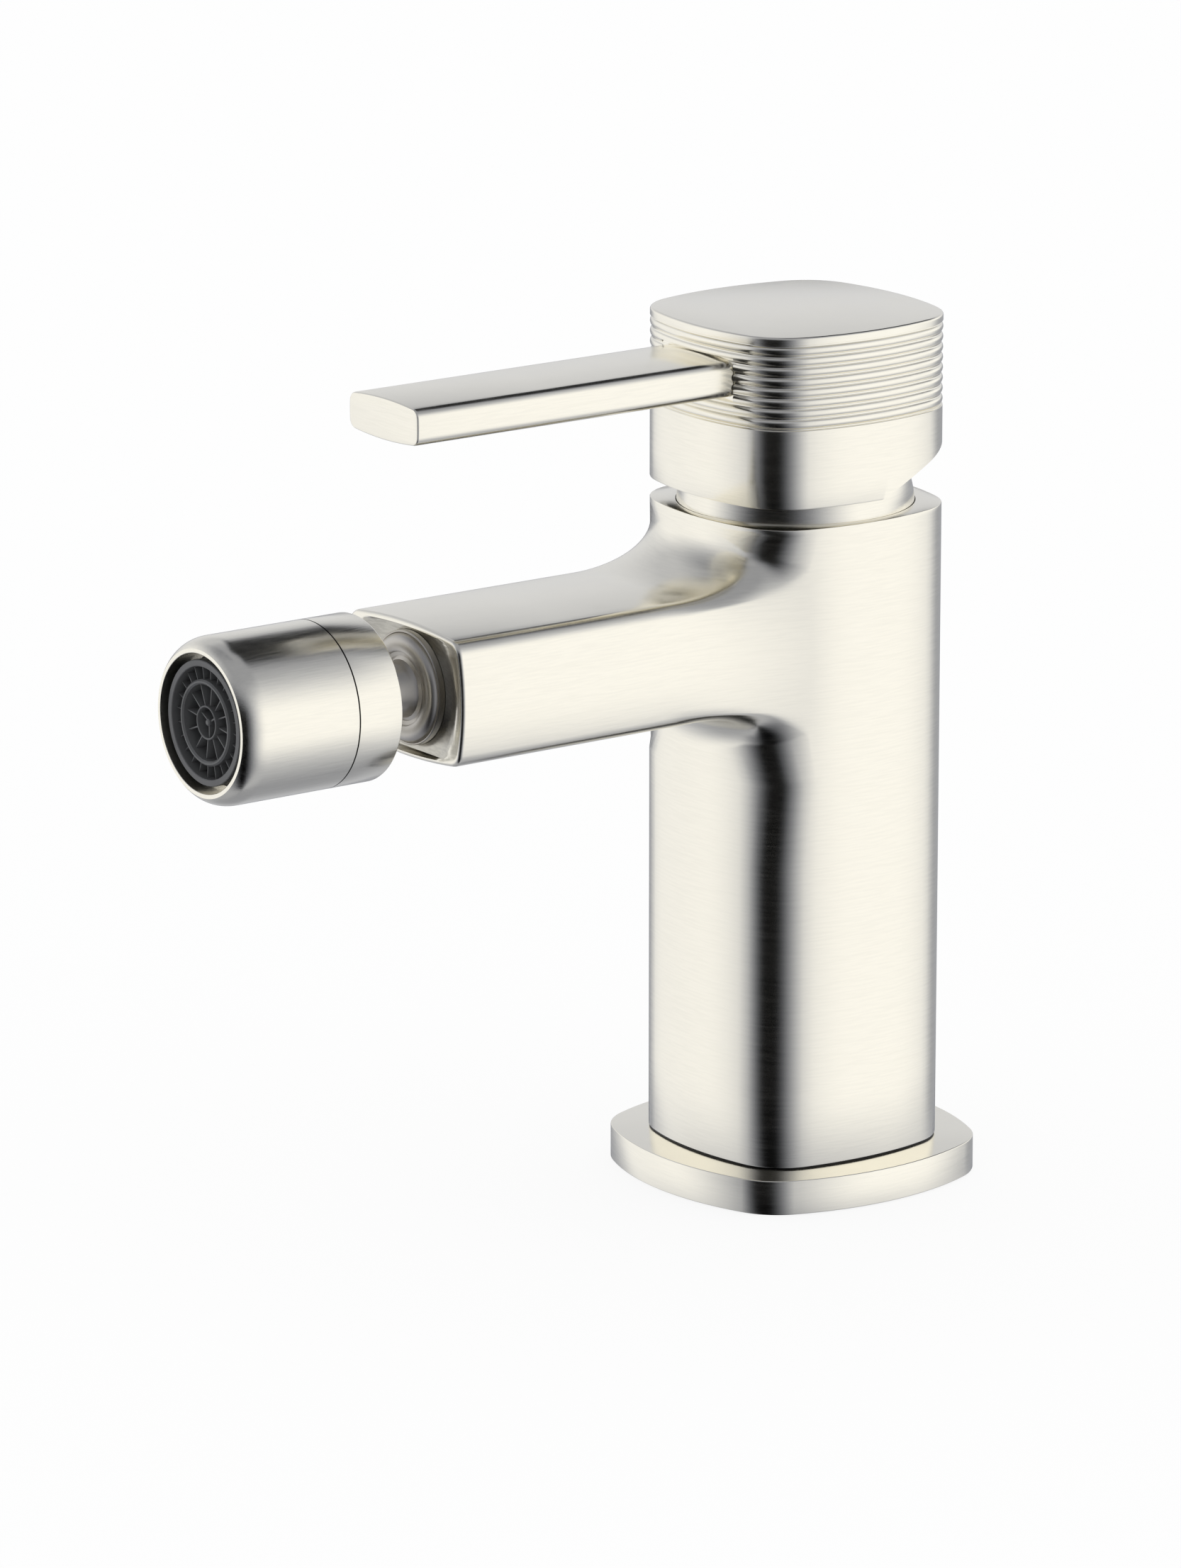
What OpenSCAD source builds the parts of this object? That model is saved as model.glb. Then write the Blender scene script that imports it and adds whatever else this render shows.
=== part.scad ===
// Single-lever bidet mixer: square-section body with a blended spout, a ribbed
// hood that carries the lever, and a ball-jointed nozzle. Millimetres, +Z up.
// Origin: centre of the base plate's underside. The spout points along -Y.

/* [Body] */
// Body width across flats
body_w = 45; // [40:0.5:52]
// Radius of each bulged side of the body
side_r = 51.6; // [40:0.1:120]
// Radius of the body's upright corners
corner_r = 10.84; // [6:0.01:14]
// Height of the body's top rim
body_top = 120.4; // [110:0.1:140]
// Height of the hollow under the waterway block
hollow_top = 68; // [40:1:72]
// Wall of the hollow lower body
body_wall = 3.6; // [2.5:0.1:6]

/* [Base plate] */
// Base plate width across flats
plate_w = 58.14; // [50:0.1:70]
// Radius of each bulged side of the plate
plate_side_r = 49.96; // [40:0.1:120]
// Radius of the plate's corners
plate_corner_r = 11.93; // [6:0.01:16]
// Base plate thickness
plate_t = 6.2; // [4:0.1:10]
// Radius of the spigot that centres the body in the plate
spigot_r = 19; // [17:0.1:20]
// Edge round on the plate
plate_edge = 0.8; // [0.3:0.1:2]

/* [Spout] */
// Spout width
spout_w = 34.4; // [28:0.1:40]
// Spout height
spout_h = 23.6; // [18:0.1:30]
// Height of the spout's middle
spout_z = 98.75; // [90:0.05:104]
// Distance from the body axis to the spout's end
spout_end = 83.2; // [60:0.1:120]
// Edge radius along the spout
spout_edge = 3; // [1.5:0.1:6]
// Edge radius where the spout meets the body
spout_root_edge = 7.6; // [3:0.1:9]
// Length over which the edge opens out to that radius
edge_open = 6; // [2:0.5:10]
// Radius of the spout's bulged sides
spout_side_r = 40; // [30:1:120]
// Radius of the spout's bulged top
spout_top_r = 110; // [60:1:200]
// Length of the top blend along the spout
blend_len = 14.5; // [6:0.5:20]
// Height of the top blend up the body
blend_up = 8.4; // [4:0.1:9.5]
// Size of the blend under the spout
blend_under = 7.5; // [3:0.5:12]
// Wall of the spout round its cored middle
spout_wall = 4.4; // [3:0.1:6]
// Radius of the waterway in the spout
spout_bore_r = 6.2; // [4:0.1:7]

/* [Inlets] */
// Thread size of the hose sockets, outside diameter
hose_thread = 10; // [8:1:12]
// Distance between the two hose sockets
hose_pitch = 18; // [16:0.5:20]
// Thread size of the fixing stud holes
stud_thread = 6; // [5:1:8]
// Distance between the two fixing stud holes
stud_pitch = 25; // [22:0.5:27]

/* [Cartridge] */
// Outside diameter of the cartridge
cart_d = 34.8; // [34:0.1:35]
// Height of the cartridge seat in the body
seat_z = 92; // [88:0.5:94]
// Height of the lever's pivot
tilt_z = 118.5; // [116:0.1:122]
// Distance from the pivot down to the middle of the spindle's ball
crank = 8.5; // [6:0.1:10]
// Across flats of the spindle
spindle_af = 8; // [6:0.5:9]
// Diameter of the moving disc
moving_disc_d = 23; // [18:0.5:24]

/* [Dome] */
// Outside radius of the dome cover
dome_r = 20.8; // [20:0.1:21]
// Wall of the dome cover
dome_wall = 1.2; // [0.8:0.1:2]
// Radius of the opening in the dome cover
dome_open_r = 15.2; // [13:0.1:17]

/* [Hood] */
// Height of the hood's lower edge
hood_bottom = 123.9; // [122:0.1:128]
// Height of the hood's flat top
hood_top = 153.9; // [146:0.1:170]
// Wall of the hood
hood_wall = 2; // [1.5:0.1:3]
// Height of the first groove
groove_first = 152.35; // [148:0.05:160]
// Distance from groove to groove
groove_pitch = 1.81; // [1.4:0.01:3]
// Number of grooves
groove_count = 9; // [3:1:12]
// Depth of the grooves
groove_depth = 0.45; // [0.2:0.05:0.8]
// Angle of the relief cut at the back of the skirt
relief_angle = 22.7; // [15:0.1:30]
// Start of the relief cut, behind the axis
relief_start = 1.5; // [0:0.5:5]

/* [Lever] */
// Lever width
lever_w = 20; // [14:0.5:26]
// Lever thickness at its crown
lever_t = 7.2; // [5:0.1:10]
// Distance from the body axis to the lever's tip
lever_tip = 87; // [60:0.5:110]
// Height of the lever's middle
lever_z = 145.65; // [143:0.05:150]
// Depth of the lever's seat in the hood
lever_seat = 1.3; // [0.8:0.1:1.5]

/* [Nozzle] */
// Nozzle diameter
nozzle_d = 28.8; // [26:0.1:32]
// Distance from the body axis to the nozzle's back face
nozzle_start = 93.3; // [90:0.1:100]
// Distance from the body axis to the nozzle's front rim
nozzle_end = 124.4; // [115:0.1:140]
// Distance from the body axis to the joint line of the nozzle
nozzle_split = 102; // [101:0.1:104]
// Radius of the rounded front edge
nozzle_round = 4.2; // [1:0.1:5]
// How far the rounded front comes in
nozzle_in = 1.7; // [0.5:0.1:3]
// Angle that the rounded front turns through
nozzle_turn = 62; // [40:1:85]
// Width of the flat rim at the nozzle's mouth
nozzle_rim = 0.77; // [0.4:0.01:1.1]
// Distance from the body axis to the middle of the ball
ball_y = 100.5; // [98:0.1:103]
// Radius of the ball
ball_r = 9.5; // [8:0.1:10]
// Radius of the neck behind the ball
neck_r = 4.5; // [4:0.1:5]
// Radius of the collar against the spout
collar_r = 9.85; // [8:0.05:10.5]

/* [Aerator] */
// Radius of the aerator insert
aerator_r = 11.3; // [9:0.1:11.6]
// Depth of the aerator's face behind the rim
aerator_recess = 0.7; // [0.3:0.1:4]
// Number of thin vanes in the outer ring
vane_count = 24; // [16:1:40]
// Number of spokes in the inner ring
spoke_count = 12; // [6:1:16]

/* [Fits] */
// Gap between pieces that turn or slide on each other
run_gap = 0.05; // [0.02:0.01:0.1]
// Gap between pieces that are only pushed together
push_gap = 0.03; // [0.01:0.01:0.1]

/* [Hidden] */
$fn = 96;
steel = [0.72, 0.70, 0.66];
brass = [0.80, 0.66, 0.36];
white = [0.92, 0.92, 0.90];
black = [0.10, 0.10, 0.10];
grey = [0.35, 0.36, 0.37];

// Half sizes
bh = body_w / 2;
ph = plate_w / 2;
sh = spout_w / 2;
st = spout_h / 2;
body_in = bh - hood_wall;

// Where a side of the body turns into its corner, and how far out the spout's
// sides keep running into it
side_turn = atan2(corner_at(bh, bh, side_r, side_r, corner_r)[1],
  corner_at(bh, bh, side_r, side_r, corner_r)[0] - bh + side_r);
root_x = bh - side_r + side_r * cos(side_turn);
root_y = side_r * sin(side_turn);
blend_side = root_y + 2 * (root_x - sh) / tan(side_turn) - bh;

// Groove and seal under the plate
seal_out_r = ph - 3.97;
seal_in_r = seal_out_r - 2.8;
seal_t = 2.1;

// Heights inside the body
spigot_z = 2.2;
socket_depth = 12;
rim_recess = 1.5;
recess_z = body_top - rim_recess;
nut_r = 18.55;
nut_head_r = 19.2;
hood_rib = 5;
hood_rib_z = lever_z - lever_t / 2 - 2.55;
dome_ring_r = nut_head_r - 0.75;
shoulder_z = 112;
cart_r = cart_d / 2;
cart_bore_r = cart_r + 0.1;
neck_out_r = 15.4;
neck_in_r = 12;
drum_r = 13.4;
base_top = seat_z + 6;
fixed_top = base_top + 4;
moving_top = fixed_top + 3.5;
carrier_top = moving_top + 3;
ball_z = tilt_z - crank;
guide_floor = carrier_top + 0.4;
guide_step = 116;
cart_top = 124.5;
stop_top = 126.3;
port_x = 6.6;
port_y = 4.6;
port_r = 3.1;
outlet_y = -7.8;
outlet_r = 3.9;
stop_swing = 50;

// Hub inside the hood
hub_r = 8;
hub_bottom = 134;
roof_t = 2.8;
roof_z = hood_top - roof_t;
spindle_top = 148;
grub_z = 144.2;
grub_r = 2.5;
pin_r = 1.5;

// Spout end and ball joint, measured along the spout as a positive length
collar_back = 80.6;
collar_front = 84.2;
shank_r = 7;
shank_back = 70.5;
bore_r = 3;
ball_front = 109;
liner_r = ball_r + 1.1;
liner_back = 94.4;
liner_front = 101.6;
pocket_r = liner_r + run_gap;
nozzle_r = nozzle_d / 2;
spigot2_r = 12.55;
spigot2_back = 99.6;
seal_back = 105.6;
seal_front = 107.6;
seal_r = 9;
chamber_back = 110;
chamber_r = aerator_r + push_gap;
washer_front = 111.6;
screen_front = 112.6;
aerator_front = nozzle_end - aerator_recess;
mouth_r = nozzle_r - nozzle_in - nozzle_rim;
mouth_back = nozzle_end - 4.8;
face_r = aerator_r - 0.6;

// One quarter of an outline made of four bulged sides and four round corners.
// w, h: half sizes. rw, rh: radii of the sides at w and at h. rc: corner radius.
function corner_at(w, h, rw, rh, rc) =
  let (
    a = [w - rw, 0],
    b = [0, h - rh],
    ra = rw - rc,
    rb = rh - rc,
    d = norm(b - a),
    u = (b - a) / d,
    along = (ra * ra - rb * rb + d * d) / (2 * d),
    off = sqrt(ra * ra - along * along)
  )
  a + along * u + off * [-u[1], u[0]];

function quarter(w, h, rw, rh, rc, n1, n2, n3) =
  let (
    c = corner_at(w, h, rw, rh, rc),
    f1 = atan2(c[1], c[0] - w + rw),
    f2 = atan2(c[1] - h + rh, c[0])
  )
  concat(
    [for (i = [0:n1 - 1]) [w - rw, 0] + rw * [cos(f1 * i / n1), sin(f1 * i / n1)]],
    [for (i = [0:n2 - 1])
      let (f = f1 + (f2 - f1) * i / n2)
      c + rc * [cos(f), sin(f)]],
    [for (i = [0:n3])
      let (f = f2 + (90 - f2) * i / n3)
      [0, h - rh] + rh * [cos(f), sin(f)]]
  );

function pillow(w, h, rw, rh, rc, n1, n2, n3) =
  let (q = quarter(w, h, rw, rh, rc, n1, n2, n3), m = len(q) - 1)
  concat(
    q,
    [for (i = [m - 1:-1:0]) [-q[i][0], q[i][1]]],
    [for (i = [1:m]) [-q[i][0], -q[i][1]]],
    [for (i = [m - 1:-1:1]) [q[i][0], -q[i][1]]]
  );

function body_outline(inset) =
  pillow(bh - inset, bh - inset, side_r - inset, side_r - inset, corner_r - inset, 5, 8, 5);

function plate_outline(inset) =
  pillow(ph - inset, ph - inset, plate_side_r - inset, plate_side_r - inset,
    plate_corner_r - inset, 5, 8, 5);

function spout_outline(inset) =
  pillow(sh - inset, st - inset, spout_side_r - inset, spout_top_r - inset, spout_edge - inset,
    4, 6, 6);

core_outline = pillow(sh - spout_wall, st - spout_wall, spout_side_r, spout_top_r, 2.5, 4, 4, 6);

function lever_outline(inset) =
  pillow(lever_w / 2 - inset, lever_t / 2 - inset, 30 - inset, 80 - inset, 1.7 - inset, 3, 6, 5);

// Level rings at height z, and a solid skinned over a list of rings
function level(pts, z) = [for (p = pts) [p[0], p[1], z]];

module skin(rings) {
  n = len(rings[0]);
  m = len(rings);
  polyhedron(
    points = [for (r = rings) for (p = r) p],
    faces = concat(
      [[for (i = [0:n - 1]) i]],
      [for (k = [0:m - 2]) for (i = [0:n - 1])
        [k * n + i, (k + 1) * n + i, (k + 1) * n + (i + 1) % n, k * n + (i + 1) % n]],
      [[for (i = [n - 1:-1:0]) (m - 1) * n + i]]
    ),
    convexity = 6
  );
}

// A solid turned about the spout's axis; local +Z runs outward along the spout
module along_spout() {
  translate([0, 0, spout_z])
    rotate([90, 0, 0])
      children();
}

module tube(r_out, r_in, z0, z1) {
  translate([0, 0, z0])
    difference() {
      cylinder(r = r_out, h = z1 - z0);
      translate([0, 0, -1])
        cylinder(r = r_in, h = z1 - z0 + 2);
    }
}

module rod(r, z0, z1) {
  translate([0, 0, z0])
    cylinder(r = r, h = z1 - z0);
}

module ring_cord(major, cord, z) {
  translate([0, 0, z])
    rotate_extrude()
      translate([major, 0])
        circle(r = cord, $fn = 32);
}

// Base plate with its seal
module base_plate() {
  color(steel)
    difference() {
      skin([
        level(plate_outline(0.3), 0),
        level(plate_outline(0), 0.3),
        level(plate_outline(0), plate_t - plate_edge),
        level(plate_outline(plate_edge * 0.13), plate_t - plate_edge * 0.5),
        level(plate_outline(plate_edge * 0.5), plate_t - plate_edge * 0.13),
        level(plate_outline(plate_edge), plate_t)
      ]);
      rod(spigot_r + push_gap, spigot_z - 0.2, plate_t + 1);
      rod(spigot_r - 1.5, -1, spigot_z + 1);
      tube(seal_out_r, seal_in_r, -1, seal_t);
    }
}

module base_seal() {
  color(black)
    tube(seal_out_r - 0.1, seal_in_r + 0.1, 0, seal_t);
}

// Body: an upright pillow prism, the blended spout and the waterways
function front_y(x) =
  let (
    c = corner_at(bh, bh, side_r, side_r, corner_r)[0],
    xs = side_r * c / (side_r - corner_r)
  )
  abs(x) < xs ? bh - side_r + sqrt(side_r * side_r - x * x)
  : c + sqrt(corner_r * corner_r - pow(min(abs(x), c + corner_r - 0.01) - c, 2));

function rise(d, len, up) =
  d >= len ? 0
  : up * (1 - sqrt(1 - pow(min(1, (len - d) / len), 2)));

// Outline at a distance from the body: its edges open out, and its sides run
// on into the body's sides
function spout_ring(d) =
  let (
    tuck = d < 0 ? 0.985 : 1,
    lift = d > 0 ? rise(d, blend_len, blend_up) : blend_up + 0.5,
    drop = d > 0 ? rise(d, blend_under, blend_under) : blend_under + 0.5,
    open = d < edge_open ? pow(1 - max(0, d) / edge_open, 2) : 0,
    rc = spout_edge + (spout_root_edge - spout_edge) * open,
    c = corner_at(sh, st, spout_side_r, spout_top_r, rc),
    turn = atan2(c[1], c[0] - sh + spout_side_r),
    side_x = sh - spout_side_r + spout_side_r * cos(turn),
    side_z = spout_side_r * sin(turn),
    run = root_x - side_x
  )
  [for (p = pillow(sh, st, spout_side_r, spout_top_r, rc, 4, 6, 6))
    let (
      up = max(0, p[1] / st),
      dn = max(0, -p[1] / st),
      side = abs(p[1]) <= side_z ? root_x - abs(p[0]) : run * pow(min(1, abs(p[0]) / c[0]), 3),
      root = front_y(abs(p[0]) + side),
      x = abs(p[0]) + side * pow(1 - d / blend_side, 2),
      y = root + (bh + blend_side - root) * d / blend_side
    )
    [sign(p[0]) * x * tuck, -y,
      spout_z + p[1] + lift * up * up * up - drop * dn * dn * dn]];

module spout_solid() {
  skin([
    [for (p = spout_outline(0)) [p[0], -12, spout_z + p[1]]],
    spout_ring(-0.35),
    spout_ring(0.12),
    spout_ring(0.5),
    spout_ring(1.1),
    spout_ring(2),
    spout_ring(3.2),
    spout_ring(4.8),
    spout_ring(6.2),
    spout_ring(7.5),
    spout_ring(10.5),
    spout_ring(blend_len),
    spout_ring(blend_side),
    [for (p = spout_outline(0)) [p[0], -spout_end + 0.5, spout_z + p[1]]],
    [for (p = spout_outline(0.12)) [p[0], -spout_end + 0.12, spout_z + p[1]]],
    [for (p = spout_outline(0.45)) [p[0], -spout_end, spout_z + p[1]]]
  ]);
}

module body_casting() {
  color(steel)
    difference() {
      union() {
        skin([
          level(body_outline(0.35), plate_t),
          level(body_outline(0.35), plate_t + 0.25),
          level(body_outline(0), plate_t + 0.35),
          level(body_outline(0), body_top - 0.5),
          level(body_outline(0.15), body_top - 0.15),
          level(body_outline(0.5), body_top)
        ]);
        rod(spigot_r, spigot_z, plate_t + 1);
        spout_solid();
      }
      // Cartridge bore, nut thread and dome recess
      rod(cart_bore_r, seat_z, body_top + 1);
      rod(nut_r + run_gap, shoulder_z - 0.6, body_top + 1);
      rod(dome_r + 0.05, recess_z, body_top + 1);
      // Hollow lower body
      rod(spigot_r - 2.4, 0, 12);
      translate([0, 0, 11])
        linear_extrude(height = hollow_top - 11)
          polygon(body_outline(body_wall));
      // Hose sockets and the supplies up to the cartridge
      for (s = [-1, 1]) {
        translate([s * hose_pitch / 2, port_y, 0])
          rod(hose_thread / 2 - 0.45, hollow_top - 1, hollow_top + socket_depth);
        translate([s * (port_x + 1), port_y, 0])
          rod(port_r - 0.2, hollow_top + socket_depth - 1, seat_z + 1);
      }
      // Fixing stud holes
      for (s = [-1, 1])
        translate([0, s * stud_pitch / 2, 0])
          rod(stud_thread / 2 - 0.4, hollow_top - 1, hollow_top + 10);
      // Outlet: down from the seat, then up a slope into the spout
      translate([0, outlet_y, 0])
        rod(outlet_r, 82.6, seat_z + 1);
      translate([0, outlet_y, 84.8])
        rotate([90 - 28, 0, 0])
          cylinder(r = 3.4, h = 30);
      along_spout() {
        rod(spout_bore_r, 28, spout_end);
        translate([0, 0, 31])
          linear_extrude(height = 37)
            polygon(core_outline);
        rod(shank_r + push_gap, shank_back - 0.5, spout_end + 1);
        rod(collar_r + 0.1, collar_back, spout_end + 1);
      }
      // Dished end face inside a thin rim
      intersection() {
        along_spout()
          translate([0, 0, spout_end + 43 - 2.9])
            sphere(r = 43);
        translate([0, 1 - spout_end, spout_z])
          rotate([90, 0, 0])
            translate([0, 0, -4])
              linear_extrude(height = 8)
                polygon(spout_outline(1.2));
      }
      // Locating pegs of the cartridge
      for (s = [-1, 1])
        translate([s * 13, -4, 0])
          rod(1.6, seat_z - 2.4, seat_z + 1);
    }
}

// Dome cover over the cartridge, and its ring seal
module dome_cover() {
  color(steel)
    difference() {
      intersection() {
        translate([0, 0, tilt_z])
          sphere(r = dome_r);
        rod(dome_r + 5, recess_z, tilt_z + dome_r);
      }
      translate([0, 0, tilt_z])
        sphere(r = dome_r - dome_wall);
      rod(dome_open_r, tilt_z, tilt_z + dome_r + 5);
    }
}

module dome_oring() {
  color(black)
    ring_cord(dome_ring_r, 0.75, recess_z + 1.65);
}

module cartridge_nut() {
  color(brass)
    difference() {
      union() {
        rod(nut_r, shoulder_z, recess_z + 1);
        rod(nut_head_r, recess_z + 0.1, recess_z + 3.1);
      }
      rod(neck_out_r + 0.1, shoulder_z - 1, recess_z + 5);
      translate([0, 0, recess_z + 1.65])
        rotate_extrude()
          translate([dome_ring_r, 0])
            circle(r = 0.78, $fn = 32);
      for (a = [45, 135])
        rotate([0, 0, a])
          translate([-25, -1.6, recess_z + 2.5])
            cube([50, 3.2, 5]);
    }
}

// Cartridge: base, housing, ceramic discs, carrier, guide and spindle
module port_shape(extra) {
  union() {
    for (s = [-1, 1])
      translate([s * port_x, port_y])
        circle(r = port_r + 1.5 + extra);
    translate([0, outlet_y])
      circle(r = outlet_r + 1.5 + extra);
    translate([-port_x, port_y - 1 - extra])
      square([2 * port_x, 2 + 2 * extra]);
    translate([-1 - extra, outlet_y])
      square([2 + 2 * extra, port_y - outlet_y]);
  }
}

module port_holes(z0, z1) {
  for (s = [-1, 1])
    translate([s * port_x, port_y, 0])
      rod(port_r, z0, z1);
  translate([0, outlet_y, 0])
    rod(outlet_r, z0, z1);
}

module seal_plate(z0, z1) {
  difference() {
    translate([0, 0, z0])
      linear_extrude(height = z1 - z0)
        port_shape(0);
    port_holes(z0 - 1, z1 + 1);
  }
}

module cartridge_base() {
  color(white)
    difference() {
      union() {
        rod(cart_r, seat_z, base_top - 1.6);
        rod(15.1, seat_z, base_top);
        for (s = [-1, 1])
          translate([s * 13, -4, 0])
            rod(1.5, seat_z - 2.2, seat_z + 1);
      }
      port_holes(seat_z - 1, base_top + 1);
      translate([0, 0, seat_z - 1])
        linear_extrude(height = 2.6)
          port_shape(0.05);
      translate([0, 0, base_top - 1.6])
        linear_extrude(height = 3)
          port_shape(0.05);
    }
}

module port_seal() {
  color(black)
    seal_plate(seat_z, seat_z + 1.6);
}

module disc_seal() {
  color(black)
    seal_plate(base_top - 1.6, base_top);
}

module cartridge_housing() {
  color(white)
    difference() {
      union() {
        rod(cart_r, base_top - 1.6, shoulder_z);
        rod(neck_out_r, shoulder_z - 1, cart_top);
      }
      rod(15.2, base_top - 3, 110);
      rod(drum_r + run_gap, 109, guide_step + 0.1);
      rod(neck_in_r + run_gap, guide_step - 1, cart_top + 1);
    }
}

module fixed_disc() {
  color([0.93, 0.92, 0.88])
    difference() {
      rod(15.1, base_top, fixed_top);
      port_holes(base_top - 1, fixed_top + 1);
      for (a = [90, 210, 330])
        rotate([0, 0, a])
          translate([15.6, 0, 0])
            rod(1.8, base_top - 1, fixed_top + 1);
    }
}

module moving_disc() {
  color([0.80, 0.80, 0.78])
    difference() {
      rod(moving_disc_d / 2, fixed_top, moving_top);
      translate([0, -3.2, 0])
        rod(6.4, fixed_top - 1, fixed_top + 1.8);
      for (s = [-1, 1])
        translate([s * 8.4, -0.5, 0])
          rod(1.3, moving_top - 1.4, moving_top + 1);
    }
}

module disc_carrier() {
  color(grey)
    difference() {
      union() {
        rod(moving_disc_d / 2, moving_top, carrier_top);
        rod(4.6, carrier_top - 1, carrier_top + 2.8);
        for (s = [-1, 1])
          translate([s * 8.4, -0.5, 0])
            rod(1.25, moving_top - 1.3, moving_top + 1);
      }
      rod(3.15, moving_top + 0.8, carrier_top + 5);
    }
}

module spindle_guide() {
  color(grey)
    difference() {
      union() {
        rod(drum_r, guide_floor, guide_step);
        rod(neck_in_r, guide_step - 1, cart_top - 0.1);
        intersection() {
          tube(11.9, 9.8, cart_top - 1, stop_top - 0.1);
          translate([0, 0, cart_top - 1])
            linear_extrude(height = 3)
              polygon([[0, 0], [-14 * tan(11), -14], [14 * tan(11), -14]]);
        }
      }
      translate([-4.7, -8.6, guide_floor - 1])
        cube([9.4, 13.4, 3.9]);
      translate([-4.1, -8.2, guide_floor - 1])
        cube([8.2, 15.6, 20]);
      translate([-20, 0, tilt_z])
        rotate([0, 90, 0])
          cylinder(r = pin_r, h = 40);
    }
}

module hot_stop_ring() {
  color([0.70, 0.12, 0.10])
    difference() {
      rod(neck_out_r, cart_top, stop_top);
      difference() {
        rod(neck_in_r + 0.2, cart_top - 1, stop_top + 1);
        difference() {
          rod(neck_in_r + 0.5, cart_top - 2, stop_top + 2);
          rod(9.6, cart_top - 3, stop_top + 3);
          translate([0, 0, cart_top - 3])
            linear_extrude(height = 8)
              polygon([[0, 0], 30 * [-sin(stop_swing + 12), -cos(stop_swing + 12)], [-30, -30],
                [30, -30], 30 * [sin(stop_swing + 12), -cos(stop_swing + 12)]]);
        }
      }
      rod(9.6, cart_top - 1, stop_top + 1);
      for (a = [90:24:270])
        rotate([0, 0, a - 90])
          translate([neck_out_r + 0.2, 0, 0])
            rod(0.7, cart_top - 1, stop_top + 1);
    }
}

module pivot_pin() {
  color(steel)
    translate([-11.6, 0, tilt_z])
      rotate([0, 90, 0])
        cylinder(r = pin_r, h = 23.2);
}

module spindle() {
  color(brass)
    difference() {
      union() {
        translate([0, 0, ball_z])
          sphere(r = 3);
        rod(2.3, ball_z, tilt_z);
        intersection() {
          translate([-3.9, 0, tilt_z])
            rotate([0, 90, 0])
              cylinder(r = 4.2, h = 7.8);
          translate([-3.9, -4, tilt_z - 6])
            cube([7.8, 8, 12]);
        }
        translate([-3.9, -4, tilt_z])
          cube([7.8, 8, 12]);
        translate([-spindle_af / 2, -spindle_af / 2, tilt_z + 11])
          cube([spindle_af, spindle_af, spindle_top - tilt_z - 11]);
      }
      translate([-20, 0, tilt_z])
        rotate([0, 90, 0])
          cylinder(r = pin_r + run_gap, h = 40);
      rod(1.6, spindle_top - 9, spindle_top + 1);
    }
}

// Ribbed hood: beads of half-oval section run round the upper half
function bead_inset(u) = groove_depth * (1 - sqrt(max(0, 1 - u * u)));

function hood_level(z, inset) = level(body_outline(inset), z);

module hood_shell() {
  last = groove_first - (groove_count - 1) * groove_pitch;
  skin(concat(
    [
      hood_level(hood_bottom, 0.3),
      hood_level(hood_bottom + 0.3, 0),
      hood_level(last - 0.4, 0),
      hood_level(last - 0.1, groove_depth * 0.4)
    ],
    [for (k = [groove_count - 2:-1:0])
      for (u = [-1, -0.85, -0.5, 0.5, 0.85])
        hood_level(groove_first - (k + 0.5 - u / 2) * groove_pitch, bead_inset(u))],
    [
      hood_level(groove_first, groove_depth),
      hood_level(groove_first + 0.15, groove_depth * 0.4),
      hood_level(groove_first + 0.4, 0),
      hood_level(hood_top - 0.5, 0),
      hood_level(hood_top - 0.15, 0.15),
      hood_level(hood_top, 0.5)
    ]
  ));
}

module handle_hood() {
  color(steel)
    difference() {
      union() {
        difference() {
          hood_shell();
          translate([0, 0, hood_bottom - 1])
            linear_extrude(height = roof_z - hood_bottom + 1)
              polygon(body_outline(hood_wall));
        }
        rod(hub_r, hub_bottom, roof_z + 0.5);
        translate([-lever_w / 2 + 1, 1.5 - bh, hood_rib_z])
          cube([lever_w - 2, hood_rib, roof_z + 0.2 - hood_rib_z]);
      }
      // Square socket for the spindle
      translate([-spindle_af / 2 - push_gap, -spindle_af / 2 - push_gap, hub_bottom - 1])
        cube([spindle_af + 2 * push_gap, spindle_af + 2 * push_gap, spindle_top - hub_bottom + 1.2]);
      // Relief at the back of the skirt
      translate([-30, 0, 0])
        rotate([90, 0, 90])
          linear_extrude(height = 60)
            polygon([[relief_start, hood_bottom], [relief_start, hood_bottom - 5], [45, hood_bottom - 5],
              [45, hood_bottom + (45 - relief_start) * tan(relief_angle)]]);
      // Seat for the lever's root
      translate([-lever_w / 2 - 0.15, -bh - 5, lever_z - lever_t / 2 - 0.15])
        cube([lever_w + 0.3, 5 + lever_seat, lever_t + 0.3]);
      // Screw into the lever
      translate([0, 0, lever_z])
        rotate([90, 0, 0]) {
          rod(2.7, bh - 7, bh + 1);
          rod(4.3, bh - 12, bh - 5);
        }
      // Clamping screw and its way in from the back
      translate([0, 0, grub_z])
        rotate([-90, 0, 0]) {
          rod(grub_r, 3, hub_r + 2);
          rod(2.9, bh - 5, bh + 1);
        }
    }
}

module lever_bar() {
  color(steel)
    difference() {
      translate([0, 0, lever_z])
        rotate([90, 0, 0])
          skin([
            level(lever_outline(0), bh - lever_seat),
            level(lever_outline(0), lever_tip - 0.5),
            level(lever_outline(0.15), lever_tip - 0.15),
            level(lever_outline(0.5), lever_tip)
          ]);
      translate([0, 0, lever_z])
        rotate([90, 0, 0])
          rod(2.5, bh - lever_seat - 1, 35);
    }
}

module lever_screw() {
  color([0.55, 0.56, 0.58])
    translate([0, 0, lever_z])
      rotate([90, 0, 0])
        difference() {
          union() {
            rod(2.5, bh - 6, 33.5);
            rod(4.1, bh - 9, bh - 5);
          }
          translate([0, 0, bh - 10])
            cylinder(r = 2.2, h = 3, $fn = 6);
        }
}

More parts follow.
